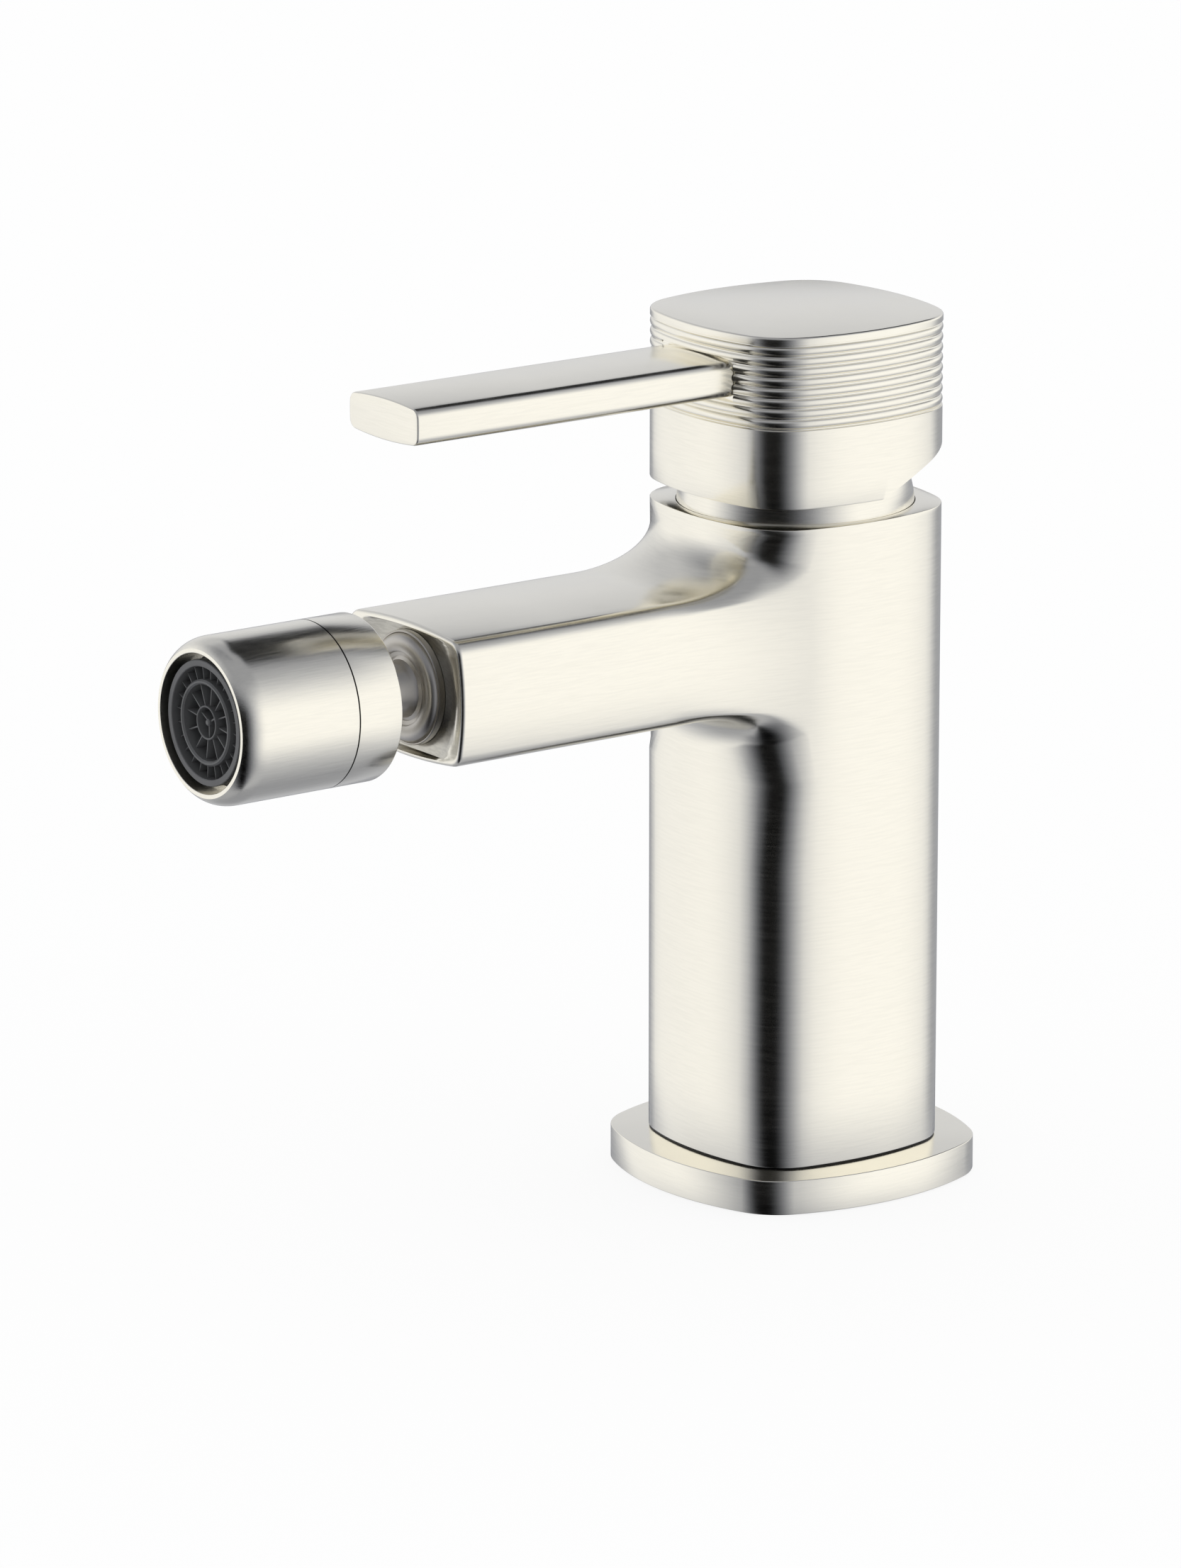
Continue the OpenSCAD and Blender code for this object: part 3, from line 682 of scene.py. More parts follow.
def turned(name: str, profile: Sequence[Flat], height: float, steps: int = 96) -> bpy.types.Object:
    """Turn a profile about the spout's axis.

    Args:
        name: Name of the piece.
        profile: Radius and distance along the spout, in millimetres.
        height: Height of the axis.
        steps: Faces round the piece.

    Returns:
        The turned piece.
    """
    deselect_all()
    bpy.ops.mesh.primitive_plane_add(size=0.002)
    obj = bpy.context.object
    obj.name = name
    obj.data.name = name
    bpy.ops.object.mode_set(mode="EDIT")
    bpy.ops.mesh.merge(type="CENTER")
    here = profile[0]
    bpy.ops.transform.translate(value=(here[0] * MM, -here[1] * MM, height * MM))
    for there in profile[1:]:
        move = ((there[0] - here[0]) * MM, -(there[1] - here[1]) * MM, 0.0)
        bpy.ops.mesh.extrude_region_move(TRANSFORM_OT_translate={"value": move})
        here = there
    bpy.ops.mesh.select_all(action="SELECT")
    bpy.ops.mesh.spin(steps=steps, angle=2 * math.pi, center=(0, 0, height * MM), axis=(0, 1, 0))
    bpy.ops.mesh.select_all(action="SELECT")
    bpy.ops.mesh.remove_doubles(threshold=0.000002)
    bpy.ops.mesh.normals_make_consistent(inside=False)
    bpy.ops.object.mode_set(mode="OBJECT")
    return obj


def cutter_rod(radius: float, start: Point, end: Point, sides: int = 48) -> bpy.types.Object:
    """Make a round bar to cut with.

    Args:
        radius: Its radius in millimetres.
        start: One end of its axis.
        end: The other end.
        sides: Faces round it.

    Returns:
        The bar.
    """
    deselect_all()
    a, b = Vector(start) * MM, Vector(end) * MM
    turn = (b - a).to_track_quat("Z", "Y").to_euler()
    bpy.ops.mesh.primitive_cylinder_add(
        vertices=sides, radius=radius * MM, depth=(b - a).length, location=(a + b) / 2, rotation=turn
    )
    obj = bpy.context.object
    bpy.ops.object.transform_apply(location=True, rotation=True, scale=True)
    return obj


def cutter_box(low: Point, high: Point) -> bpy.types.Object:
    """Make a box to cut with, from its two corners in millimetres."""
    deselect_all()
    middle = tuple((a + b) / 2 * MM for a, b in zip(low, high))
    bpy.ops.mesh.primitive_cube_add(size=1.0, location=middle)
    obj = bpy.context.object
    obj.scale = tuple((b - a) * MM for a, b in zip(low, high))
    bpy.ops.object.transform_apply(location=True, rotation=True, scale=True)
    return obj


def arc(cx: float, cy: float, r: float, start: float, end: float, steps: int) -> List[Flat]:
    """Points of an arc, with angles in degrees."""
    turns = [math.radians(start + (end - start) * i / steps) for i in range(steps + 1)]
    return [(cx + r * math.cos(a), cy + r * math.sin(a)) for a in turns]


def rounding(size: float, steps: int) -> List[Flat]:
    """Inset and drop of the points across a rounded edge, from the wall to the face."""
    turns = [math.pi / 2 * i / steps for i in range(steps + 1)]
    return [(size * (1 - math.cos(a)), size * (1 - math.sin(a))) for a in turns]


# ------------------------------------------------------------------ the pieces

SQUARE = Pillow(22.5, 22.5, 51.6, 51.6, 10.84)  # outline of the body and of the hood above it
SPOUT_Z = 98.75  # height of the axis that the spout and the nozzle share


@dataclass
class BasePlate:
    """Square plate with bulged sides that the body stands on.

    Attributes:
        spigot: Radius of the hole for the body's spigot.
        lip: Radius of the narrower hole under it.
        ledge: Height of the lip.
        foot: Inset and height of the rings at the lower edge.
        groove: Radius and height round the seal's groove.
    """

    outline: Pillow = Pillow(29.07, 29.07, 49.96, 49.96, 11.93)
    thick: float = 6.2
    edge: float = 0.2
    spigot: float = 19.03
    lip: float = 17.5
    ledge: float = 2.0
    foot: Tuple[Flat, ...] = ((0.0, 0.3), (0.1, 0.08), (0.3, 0.0))
    groove: Tuple[Flat, ...] = ((25.1, 0.0), (25.1, 2.1), (22.3, 2.1), (22.3, 0.0))
    counts: Tuple[int, int, int] = (8, 12, 8)

    def ring(self, inset: float, z: float) -> Ring:
        """Give the plate's outline, moved inwards, at a height."""
        return level_ring(self.outline.inset(inset).ring(self.counts), z)

    def build(self, finishes: Finishes) -> bpy.types.Object:
        """Shape and dress the plate.

        Args:
            finishes: The finishes.

        Returns:
            The plate.
        """
        flat = self.outline.ring(self.counts)
        hole = ((self.lip, 0.0), (self.lip, self.ledge), (self.spigot, self.ledge), (self.spigot, self.thick))
        piece = Workpiece("base_plate_skin", bore_ring(flat, *hole[-1]))
        piece.walk(self.ring(inset, self.thick - drop) for inset, drop in reversed(rounding(self.edge, 6)))
        piece.walk(self.ring(inset, z) for inset, z in self.foot)
        piece.walk(bore_ring(flat, r, z) for r, z in self.groove + hole)
        obj = dress(piece.close(), finishes.level, "mixer", "base_plate")
        obj.visible_glossy = False
        return obj


@dataclass
class SpoutForm:
    """Sizes of the spout and of the blend into the body.

    Attributes:
        z: Height of the spout's axis.
        end: Distance of the end face from the body's axis.
        dip: How far the blend's corner lies under its top, as a share of the blend's height.
        spread: How far past the body's corner the blend's side stands at the middle.
        lead_wall: Length of a side column's start along the wall, as a share of its way.
        lead_spout: Length of its end along the spout, as a share of its way.
        straight: Distances of the rings between the blend and the end.
        shares: Places of the dish's rings between its rim and the collar's hole.
        collar_hole: Radius of the connector's socket.
        collar_floor: Distance of the socket's floor.
        shank_hole: Radius of the deeper hole in that floor.
        shank_floor: Distance of the deeper hole's floor.
    """

    outline: Pillow = Pillow(17.2, 11.8, 40.0, 110.0, 3.0)
    z: float = SPOUT_Z
    end: float = 83.2
    blend_len: float = 14.5
    blend_up: float = 8.4
    blend_under: float = 7.5
    dip: float = 0.27
    spread: float = 0.9
    lead_wall: float = 0.36
    lead_spout: float = 0.32
    straight: Flat = (45.0, 60.0)
    rim: float = 1.2
    edge: float = 0.8
    dish_r: float = 43.0
    dish_depth: float = 2.9
    shares: Tuple[float, ...] = (0.0, 0.04, 0.12, 0.25, 0.4, 0.6, 0.8, 1.0)
    collar_hole: float = 9.95
    collar_floor: float = 80.6
    shank_hole: float = 7.03
    shank_floor: float = 70.0
    waterway: Flat = (6.2, 50.0)
    counts: Tuple[int, int, int] = (7, 8, 9)

    def foot(self, j: int, over: bool, body: Pillow) -> Tuple[float, float]:
        """Find where one column of the blend stands on the body's wall.

        Args:
            j: Place in the outline's quarter, 0 at the side.
            over: True above the spout's middle.
            body: The body's outline.

        Returns:
            Distance along the wall from its middle, and height above the spout's middle.
        """
        side, corner, top = self.counts
        ring = self.outline.ring(self.counts)
        z = ring[j][1]
        reach = self.blend_up if over else self.blend_under
        flat = body.rh * math.asin(body.corner()[0] / (body.rh - body.rc))
        bend = 2 * (body.length() / 2 - flat)
        if j >= side + corner:
            return flat * (side + corner + top - j) / top, z + reach * (z / self.outline.h) ** 3
        edge = ring[side + corner][1]
        high = edge + reach * (edge / self.outline.h) ** 3
        if j >= side + corner // 2:
            share = (side + corner - j) / (corner - corner // 2)
            return flat + bend * share, high - self.dip * reach * share ** 1.5
        stretch = (high - self.dip * reach) / ring[side + corner // 2][1] - 1
        share = j / (side + corner // 2)
        return flat + bend + self.spread * (1 - share), z * (1 + stretch * share ** 2)

    def column(self, i: int, body: Pillow, steps: int) -> List[Point]:
        """Draw one column of the blend, from the body's wall to the spout.

        Args:
            i: Place in the outline.
            body: The body's outline.
            steps: Number of steps.

        Returns:
            Its points, smooth against both.
        """
        side, corner, top = self.counts
        quarter = side + corner + top
        k, j = divmod(i, quarter)
        j = quarter - j if k in (1, 3) else j
        right, over = (1 if k in (0, 3) else -1), k in (0, 1)
        up = 1 if over else -1
        u, w = self.foot(j, over, body)
        x, y = body.at(3 * body.length() + u)
        near_x, near_y = body.at(3 * body.length() + u - 0.01)
        step = math.hypot(near_x - x, near_y - y)
        wall = Vector(((near_x - x) / step, (near_y - y) / step, 0.0))
        q = min(1.0, max(0.0, (side + corner + 1 - j) / (corner + 2)))
        ease = q * q * (3 - 2 * q)
        turn = ease * math.pi / 2
        sx, sz = self.outline.ring(self.counts)[j]
        root_x, root_y, angle = body.side_end()
        far = root_y + 2 * (root_x - self.outline.w) / math.tan(angle)
        near = body.h + (self.blend_len if over else self.blend_under)
        sy = near + (far - near) * ease
        start, end = Vector((x, y, w)), Vector((sx, -sy, sz))
        rise, aside = math.cos(turn) ** 2, math.sin(turn) ** 2
        push = ROUND * max(w - sz, 0.0) * rise + self.lead_wall * (sy + y) * aside
        pull = (ROUND * rise + self.lead_spout * aside) * (sy + y)
        first = start + push * (wall * math.sin(turn) - Vector((0.0, 0.0, math.cos(turn))))
        second = end + pull * Vector((0.0, 1.0, 0.0))
        points: List[Point] = []
        for n in range(steps + 1):
            t = n / steps
            p = start * (1 - t) ** 3 + first * 3 * t * (1 - t) ** 2
            p += second * 3 * t * t * (1 - t) + end * t ** 3
            points.append((right * p.x, p.y, self.z + up * p.z))
        return points

    def blend(self, body: Pillow, steps: int = 18) -> List[Ring]:
        """Give the rings of the blend from the body's wall to the spout."""
        count = 4 * sum(self.counts)
        return [list(ring) for ring in zip(*(self.column(i, body, steps) for i in range(count)))]

    def end_ring(self, inset: float, s: float) -> Ring:
        """Give the spout's outline, moved inwards, at a distance along it."""
        return [(x, -s, self.z + z) for x, z in self.outline.inset(inset).ring(self.counts)]

    def dish_ring(self, share: float) -> Ring:
        """Give a ring of the dished end face.

        Args:
            share: 0 at the rim, 1 at the collar's hole.

        Returns:
            The ring.
        """
        points: Ring = []
        for x, z in self.outline.inset(self.rim).ring(self.counts):
            full = math.hypot(x, z)
            r = full + (self.collar_hole - full) * share
            s = self.end + self.dish_r - self.dish_depth - math.sqrt(self.dish_r ** 2 - r * r)
            points.append((x * r / full, -min(s, self.end), self.z + z * r / full))
        return points

    def round_ring(self, radius: float, s: float) -> Ring:
        """Give a circle with the outline's points at a distance along the spout."""
        flat = self.outline.ring(self.counts)
        return [(radius * x / math.hypot(x, z), -s, self.z + radius * z / math.hypot(x, z)) for x, z in flat]


@dataclass
class Body:
    """Upright body, the spout that grows out of it, and the bores that show.

    Attributes:
        window_half: Half width of the spout's window, along the outline.
        around: Number of columns outside the window.
        within: Radius that the outer wall's faces lie beyond.
        cartridge: Radius and height of the bore for the cartridge, from its floor to the top.
        rim: Inset and depth of the rings at the top edge.
        lower: Heights of the rings under the window.
        joint: Inset and height over the plate of the groove at the foot.
        spigot: Radius and height of the spigot that stands in the plate.
        hollow: Inset and height of the space in the lower body.
        drill_low: Height in the hollow that the holes are cut from.
        holes: X, Y, radius and top of the hose sockets and stud holes.
    """

    outline: Pillow = SQUARE
    spout: SpoutForm = field(default_factory=SpoutForm)
    foot: float = 6.2
    top: float = 120.4
    window_half: float = 26.3
    window_low: float = 75.0
    window_high: float = 119.5
    around: int = 78
    within: float = 21.5
    cartridge: Tuple[Flat, ...] = (
        (17.5, 92.0), (17.5, 111.4), (18.6, 111.4), (18.6, 118.9), (20.85, 118.9), (20.85, 120.4)
    )
    rim: Tuple[Flat, ...] = ((0.15, 0.0), (0.05, 0.05), (0.0, 0.15))
    lower: Tuple[float, ...] = (60.0, 40.0, 20.0)
    joint: Tuple[Flat, ...] = ((0.0, 0.5), (0.12, 0.3), (0.35, 0.25), (0.35, 0.0))
    spigot: Tuple[Flat, ...] = ((19.0, 2.2), (16.6, 2.2), (16.6, 11.0))
    hollow: Tuple[Flat, ...] = ((3.6, 11.0), (3.6, 68.0))
    drill_low: float = 60.0
    holes: Tuple[Tuple[float, float, float, float], ...] = (
        (-9.0, 4.6, 4.55, 80.0), (9.0, 4.6, 4.55, 80.0), (0.0, -12.5, 2.6, 78.0), (0.0, 12.5, 2.6, 78.0)
    )

    def stations(self) -> List[float]:
        """List where the upright columns stand along the outline."""
        quarter = self.outline.length()
        across = self.spout.counts[1] // 2 + self.spout.counts[2]
        first, last = 3 * quarter + self.window_half, 7 * quarter - self.window_half
        around = [first + (last - first) * i / self.around for i in range(self.around)]
        window = [last + self.window_half * i / across for i in range(2 * across)]
        return around + window

    def heights(self) -> List[float]:
        """List the heights of the rows in the window, from the top down."""
        up = self.spout.counts[0] + self.spout.counts[1] // 2
        above = [self.window_high + (self.spout.z - self.window_high) * i / up for i in range(up)]
        below = [self.spout.z + (self.window_low - self.spout.z) * i / up for i in range(up + 1)]
        return above + below

    def ring(self, inset: float, z: float) -> Ring:
        """Give the body's outline, moved inwards, at a height."""
        inner = self.outline.inset(inset)
        share = inner.length() / self.outline.length()
        return level_ring([inner.at(s * share) for s in self.stations()], z)

    def build(self, finishes: Finishes) -> bpy.types.Object:
        """Shape and dress the body with its spout.

        Args:
            finishes: The finishes.

        Returns:
            The body.
        """
        flat = [self.outline.at(s) for s in self.stations()]
        piece = Workpiece("body_skin", bore_ring(flat, *self.cartridge[0]))
        piece.cap()
        piece.walk(bore_ring(flat, r, z) for r, z in self.cartridge[1:])
        piece.walk(self.ring(inset, self.top - drop) for inset, drop in self.rim)
        piece.walk(self.ring(0.0, z) for z in (*self.heights(), *self.lower))
        piece.walk(self.ring(inset, self.foot + up) for inset, up in self.joint)
        piece.step(bore_ring(flat, self.spigot[0][0], self.foot))
        piece.walk(bore_ring(flat, r, z) for r, z in self.spigot)
        piece.walk(self.ring(inset, z) for inset, z in self.hollow)
        piece.cap()
        self._open_window(piece)
        self._grow_spout(piece)
        obj = piece.close()
        for x, y, r, z in self.holes:
            carve(obj, cutter_rod(r, (x, y, self.drill_low), (x, y, z)))
        return dress(obj, finishes.body, "mixer", "body_casting", angle=34.0)

    def _open_window(self, piece: Workpiece) -> None:
        """Take the faces out where the spout grows, and number the hole's edge."""
        edge_x, edge_y = self.outline.at(3 * self.outline.length() + self.window_half)

        def inside(p: Vector) -> bool:
            """Tell whether a face of the outer wall lies in the window."""
            outer = p.y < edge_y and math.hypot(p.x, p.y) > self.within
            return outer and self.window_low < p.z < self.window_high

        piece.pick_faces(inside)
        bpy.ops.mesh.delete(type="FACE")
        bpy.ops.mesh.select_mode(type="VERT")
        bpy.ops.mesh.select_all(action="DESELECT")
        piece.mesh = bmesh.from_edit_mesh(piece.obj.data)
        mark = piece.mesh.verts.layers.int["place"]
        holes = [v for v in piece.mesh.verts if any(e.is_boundary for e in v.link_edges)]
        middle, near = self.spout.z * MM, 1 - 1e-6
        above, under = (self.window_high - self.spout.z) * MM, (self.spout.z - self.window_low) * MM
        count = 4 * sum(self.spout.counts)

        def turn(v: bmesh.types.BMVert) -> float:
            """Place of a hole's point on a square of side 2 round the spout's axis."""
            x, z = v.co.x / (edge_x * MM), (v.co.z - middle) / (above if v.co.z > middle else under)
            rim = max(abs(x), abs(z), 1e-9)
            x, z = x / rim, z / rim
            if x >= near:
                return z % 8
            if z >= near:
                return 2 - x
            return 4 - z if x <= -near else 6 + x

        holes.sort(key=turn)
        for i, vert in enumerate(holes):
            vert[mark] = i % count
            vert.select_set(True)
        for edge in piece.mesh.edges:
            edge.select_set(edge.is_boundary)
        bmesh.update_edit_mesh(piece.obj.data, loop_triangles=False, destructive=False)
        bpy.ops.mesh.select_mode(type="EDGE")
        LOG.info("window edge: %d points for %d on the spout", len(holes), count)

    def _grow_spout(self, piece: Workpiece) -> None:
        """Extrude the spout out of the window, and its dished end."""
        form = self.spout
        piece.walk(form.blend(self.outline))
        piece.walk(form.end_ring(0.0, s) for s in form.straight)
        piece.walk(form.end_ring(inset, form.end - drop) for inset, drop in rounding(form.edge, 5))
        piece.walk(form.dish_ring(share) for share in form.shares)
        socket = (
            (form.collar_hole, form.collar_floor), (form.shank_hole, form.collar_floor),
            (form.shank_hole, form.shank_floor), (form.waterway[0], form.shank_floor), form.waterway
        )
        piece.walk(form.round_ring(r, s) for r, s in socket)
        piece.cap()


@dataclass
class Dome:
    """Dome cover that shows as a neck under the hood."""

    radius: float = 20.8
    wall: float = 1.2
    centre: float = 118.5
    low: float = 118.9
    opening: float = 15.2
    around: int = 112

    def side(self, radius: float, steps: int) -> List[Flat]:
        """Give one side of the dome's section, from its lower edge to the opening."""
        start = math.degrees(math.asin((self.low - self.centre) / radius))
        return arc(0, self.centre, radius, start, math.degrees(math.acos(self.opening / radius)), steps)

    def build(self, finishes: Finishes) -> bpy.types.Object:
        """Shape and dress the dome cover.

        Args:
            finishes: The finishes.

        Returns:
            The dome cover.
        """
        profile = self.side(self.radius, 18) + self.side(self.radius - self.wall, 14)[::-1]
        turns = [2 * math.pi * i / self.around for i in range(self.around)]
        circle = [(math.cos(a), math.sin(a)) for a in turns]
        piece = Workpiece("dome_cover_skin", bore_ring(circle, *profile[0]))
        piece.walk(bore_ring(circle, r, z) for r, z in profile[1:] + profile[:1])
        return dress(piece.close(), finishes.level, "mixer", "dome_cover")


@dataclass
class Handle:
    """Ribbed hood, flat lever and the plug at the back.

    Attributes:
        first_groove: Height of the topmost groove's middle.
        section: Distance from a groove's middle and depth there.
        crisp: The same for the plain skirt's and the cap's side of the outer grooves.
        hem: Inset and height of the rings at the skirt's edge.
        relief: Angle of the cut under the skirt's back.
        play: Gap round the lever in its seat.
        square: Half width of the spindle's square hole in the hub.
        block: Half width, front and lower edge of the block behind the lever's screw.
        tip: Inset and distance back from the tip of the lever's last rings.
        plug: Radius and distance behind the axis of the plug's section.
    """

    outline: Pillow = SQUARE
    lever: Pillow = Pillow(10.0, 3.6, 30.0, 80.0, 1.7)
    wall: float = 2.0
    low: float = 123.9
    high: float = 153.9
    roof: float = 151.1
    edge: float = 0.45
    plain: float = 129.0
    first_groove: float = 152.35
    pitch: float = 1.81
    grooves: int = 9
    section: Tuple[Flat, ...] = (
        (0.0, 0.42), (0.1, 0.41), (0.18, 0.36), (0.25, 0.28), (0.33, 0.19), (0.45, 0.115), (0.6, 0.055),
        (0.75, 0.018), (0.905, 0.0)
    )
    crisp: Tuple[Flat, ...] = ((0.0, 0.42), (0.1, 0.41), (0.16, 0.36), (0.19, 0.06), (0.25, 0.0))
    hem: Tuple[Flat, ...] = ((0.3, 0.0), (0.09, 0.09), (0.0, 0.3))
    relief: float = 22.7
    relief_start: float = 1.5
    lever_z: float = 145.65
    lever_tip: float = 87.0
    seat: float = 1.3
    play: float = 0.16
    tip: Tuple[Flat, ...] = ((0.0, 47.0), (0.0, 27.0), (0.0, 0.4), (0.05, 0.2), (0.15, 0.07), (0.35, 0.0))
    hub_r: float = 8.0
    hub_low: float = 134.0
    inner_top: float = 151.4
    square: float = 4.03
    square_top: float = 148.2
    block: Point = (9.0, -21.0, 139.5)
    block_back: float = -16.0
    screw_r: float = 4.3
    plug_hole: float = 2.9
    plug_z: float = 144.2
    plug: Tuple[Flat, ...] = (
        (0.0, -19.5), (2.87, -19.5), (2.87, -21.9), (2.75, -22.15), (2.5, -22.28), (1.5, -22.34),
        (0.0, -22.36)
    )
    counts: Tuple[int, int, int] = (8, 12, 8)

    def ring(self, inset: float, z: float) -> Ring:
        """Give the hood's outline, moved inwards, at a height."""
        return level_ring(self.outline.inset(inset).ring(self.counts), z)

    def outside(self) -> List[Ring]:
        """List the rings of the outer wall, from the skirt's edge to the top."""
        rings = [self.ring(inset, self.low + up) for inset, up in self.hem] + [self.ring(0.0, self.plain)]
        for k in range(self.grooves - 1, -1, -1):
            middle = self.first_groove - k * self.pitch
            below = self.crisp if k == self.grooves - 1 else self.section[:-1]
            above = self.section if k else self.crisp
            rings += [self.ring(inset, middle - away) for away, inset in reversed(below)]
            rings += [self.ring(inset, middle + away) for away, inset in above[1:]]
        return rings + [self.ring(inset, self.high - drop) for inset, drop in rounding(self.edge, 4)]

    def build(self, finishes: Finishes) -> List[bpy.types.Object]:
        """Shape and dress the hood, the lever and the plug.

        Args:
            finishes: The finishes.

        Returns:
            The three pieces.
        """
        return [self._hood(finishes), self._lever(finishes), self._plug(finishes)]

    def _hood(self, finishes: Finishes) -> bpy.types.Object:
        """Shape the hood with its hub, relief and lever seat."""
        piece = Workpiece("hood_skin", self.ring(self.wall, self.roof))
        piece.cap()
        piece.step(self.ring(self.wall, self.low))
        piece.walk(self.outside())
        piece.cap()
        bpy.ops.mesh.select_all(action="SELECT")
        a = math.radians(self.relief)
        bpy.ops.mesh.bisect(
            plane_co=(0.0, self.relief_start * MM, self.low * MM),
            plane_no=(0.0, -math.sin(a), math.cos(a)),
            use_fill=True,
            clear_inner=True,
        )
        obj = piece.close()
        wide, thick, floor = self.lever.w + self.play, self.lever.h + self.play, self.seat - self.outline.h
        carve(obj, cutter_box((-wide, -28.0, self.lever_z - thick), (wide, floor, self.lever_z + thick)))
        carve(obj, cutter_rod(self.plug_hole, (0.0, 15.0, self.plug_z), (0.0, 25.0, self.plug_z)))
        hub = cutter_rod(self.hub_r, (0.0, 0.0, self.hub_low), (0.0, 0.0, self.inner_top), 72)
        side = self.square
        carve(hub, cutter_box((-side, -side, 130.0), (side, side, self.square_top)))
        half, front, under = self.block
        block = cutter_box((-half, front, under), (half, self.block_back, self.inner_top))
        carve(block, cutter_rod(self.screw_r, (0.0, -17.5, self.lever_z), (0.0, -10.0, self.lever_z)))
        join(obj, [hub, block])
        return dress(obj, finishes.level, "lever", "handle_hood", angle=34.0)

    def _lever(self, finishes: Finishes) -> bpy.types.Object:
        """Shape the lever bar."""
        def ring(inset: float, s: float) -> Ring:
            """Lay the lever's outline across the bar at a distance along it."""
            return [(x, -s, self.lever_z + z) for x, z in self.lever.inset(inset).ring((6, 10, 10))]

        root = self.outline.h - self.seat
        piece = Workpiece("lever_skin", ring(0.1, root))
        piece.cap()
        piece.step(ring(0.0, root + 0.1))
        piece.walk(ring(inset, self.lever_tip - back) for inset, back in self.tip)
        piece.cap()
        return dress(piece.close(), finishes.level, "lever", "lever_bar")

    def _plug(self, finishes: Finishes) -> bpy.types.Object:
        """Shape the plug at the back of the hood."""
        obj = turned("grub_plug_skin", self.plug, self.plug_z, 48)
        return dress(obj, finishes.level, "lever", "grub_plug")


@dataclass
class Nozzle:
    """Ball connector, the nozzle's two rings and the aerator insert.

    Attributes:
        ball: Distance of the ball's centre along the spout.
        pocket: Radius of the pocket round the ball's liner.
        lip: Depth of the nut's mouth, up to the pocket.
        step: Where the nut's spigot ends inside the housing.
        gap: Gap between the spigot's end and the housing.
        thread: Radius of the joint in the nut and on the housing.
        shank: Radius and distance of the connector's section, up to the collar.
        neck: The same from the collar's round to the ball.
        nose: Length and depth of the rounded front edge.
        inside: Radius and distance of the housing's seats, from the front inwards.
        insert_back: Distance of the insert's back face.
    """

    axis_z: float = SPOUT_Z
    ball: float = 100.5
    ball_r: float = 9.5
    pocket: float = 10.65
    lip: float = 0.95
    radius: float = 14.4
    back: float = 93.3
    step: float = 99.5
    gap: float = 0.1
    thread: Flat = (12.58, 12.55)
    split: float = 102.0
    front: float = 124.4
    bevel: float = 0.1
    shank: Tuple[Flat, ...] = (
        (3.0, 70.5), (7.0, 70.5), (7.0, 80.6), (9.85, 80.6), (9.85, 82.6), (9.7, 82.75), (9.55, 82.75)
    )
    neck: Tuple[Flat, ...] = ((6.9, 84.15), (6.45, 83.9), (6.25, 83.5), (5.6, 83.3), (5.0, 83.6), (4.5, 84.5))
    nose: Flat = (4.15, 3.2)
    inside: Tuple[Flat, ...] = (
        (11.93, 119.6), (11.33, 119.6), (11.33, 110.0), (6.2, 110.0), (6.2, 107.62), (9.03, 107.62),
        (9.03, 105.1)
    )
    insert_r: float = 11.3
    insert_back: float = 112.6
    ring_r: float = 10.69
    recess: float = 0.7
    vanes: int = 24
    spokes: int = 12
    arms: int = 3

    def build(self, finishes: Finishes) -> List[bpy.types.Object]:
        """Shape and dress the connector, the nozzle and the insert.

        Args:
            finishes: The finishes.

        Returns:
            The pieces.
        """
        makers = (self._connector, self._nut, self._housing, self._insert)
        return [make(finishes) for make in makers]

    def _connector(self, finishes: Finishes) -> bpy.types.Object:
        """Turn the collar, neck and ball."""
        profile = [*self.shank, *arc(7.55, 82.3, 1.9, 8, 95, 12), *self.neck]
        profile += [(y, x) for x, y in arc(self.ball, 0.0, self.ball_r, 151.7, 26.5, 40)]
        profile += [(self.shank[0][0], 109.0), self.shank[0]]
        obj = turned("ball_connector_skin", profile, self.axis_z)
        return dress(obj, finishes.polished, "mixer", "ball_connector")

    def _nut(self, finishes: Finishes) -> bpy.types.Object:
        """Turn the nozzle's back ring."""
        start, end = (
            math.degrees(math.asin((s - self.ball) / self.pocket)) for s in (self.back + self.lip, self.step)
        )
        rim = ((self.radius, 0.35), (self.radius - 0.1, 0.1), (self.radius - 0.35, 0.0),
               (9.95, 0.0), (9.3, 0.25), (8.8, self.lip))
        profile = [(r, self.back + s) for r, s in rim]
        profile += arc(0.0, self.ball, self.pocket, start, end, 12)
        joint = self.thread[0]
        profile += [(joint, self.step), (joint, self.split), (self.radius - self.bevel, self.split),
                    (self.radius, self.split - self.bevel), profile[0]]
        obj = turned("nozzle_nut_skin", profile, self.axis_z)
        return dress(obj, finishes.along, "nozzle", "nozzle_nut")

    def _housing(self, finishes: Finishes) -> bpy.types.Object:
        """Turn the nozzle's front with its rounded edge and inner seats."""
        long, deep = self.nose
        seat = (self.thread[1], self.step + self.gap)
        profile = [seat, (self.thread[1], self.split), (self.radius - self.bevel, self.split),
                   (self.radius, self.split + self.bevel)]
        for turn in (math.radians(t) for t in (0, 8, 16, 24, 32, 40, 48, 55, 62)):
            along = self.front - 0.05 - long + long * math.sin(turn) / math.sin(math.radians(62))
            profile.append((self.radius - deep * (1 - math.cos(turn)), along))
        profile += [(12.64, self.front), (12.0, self.front), (11.93, self.front - 0.06), *self.inside]
        last = -math.degrees(math.asin((self.ball - seat[1]) / self.pocket))
        profile += [(self.pocket, profile[-1][1]), *arc(0.0, self.ball, self.pocket, 0.0, last, 4), seat]
        obj = turned("nozzle_housing_skin", profile, self.axis_z)
        return dress(obj, finishes.along, "nozzle", "nozzle_housing")

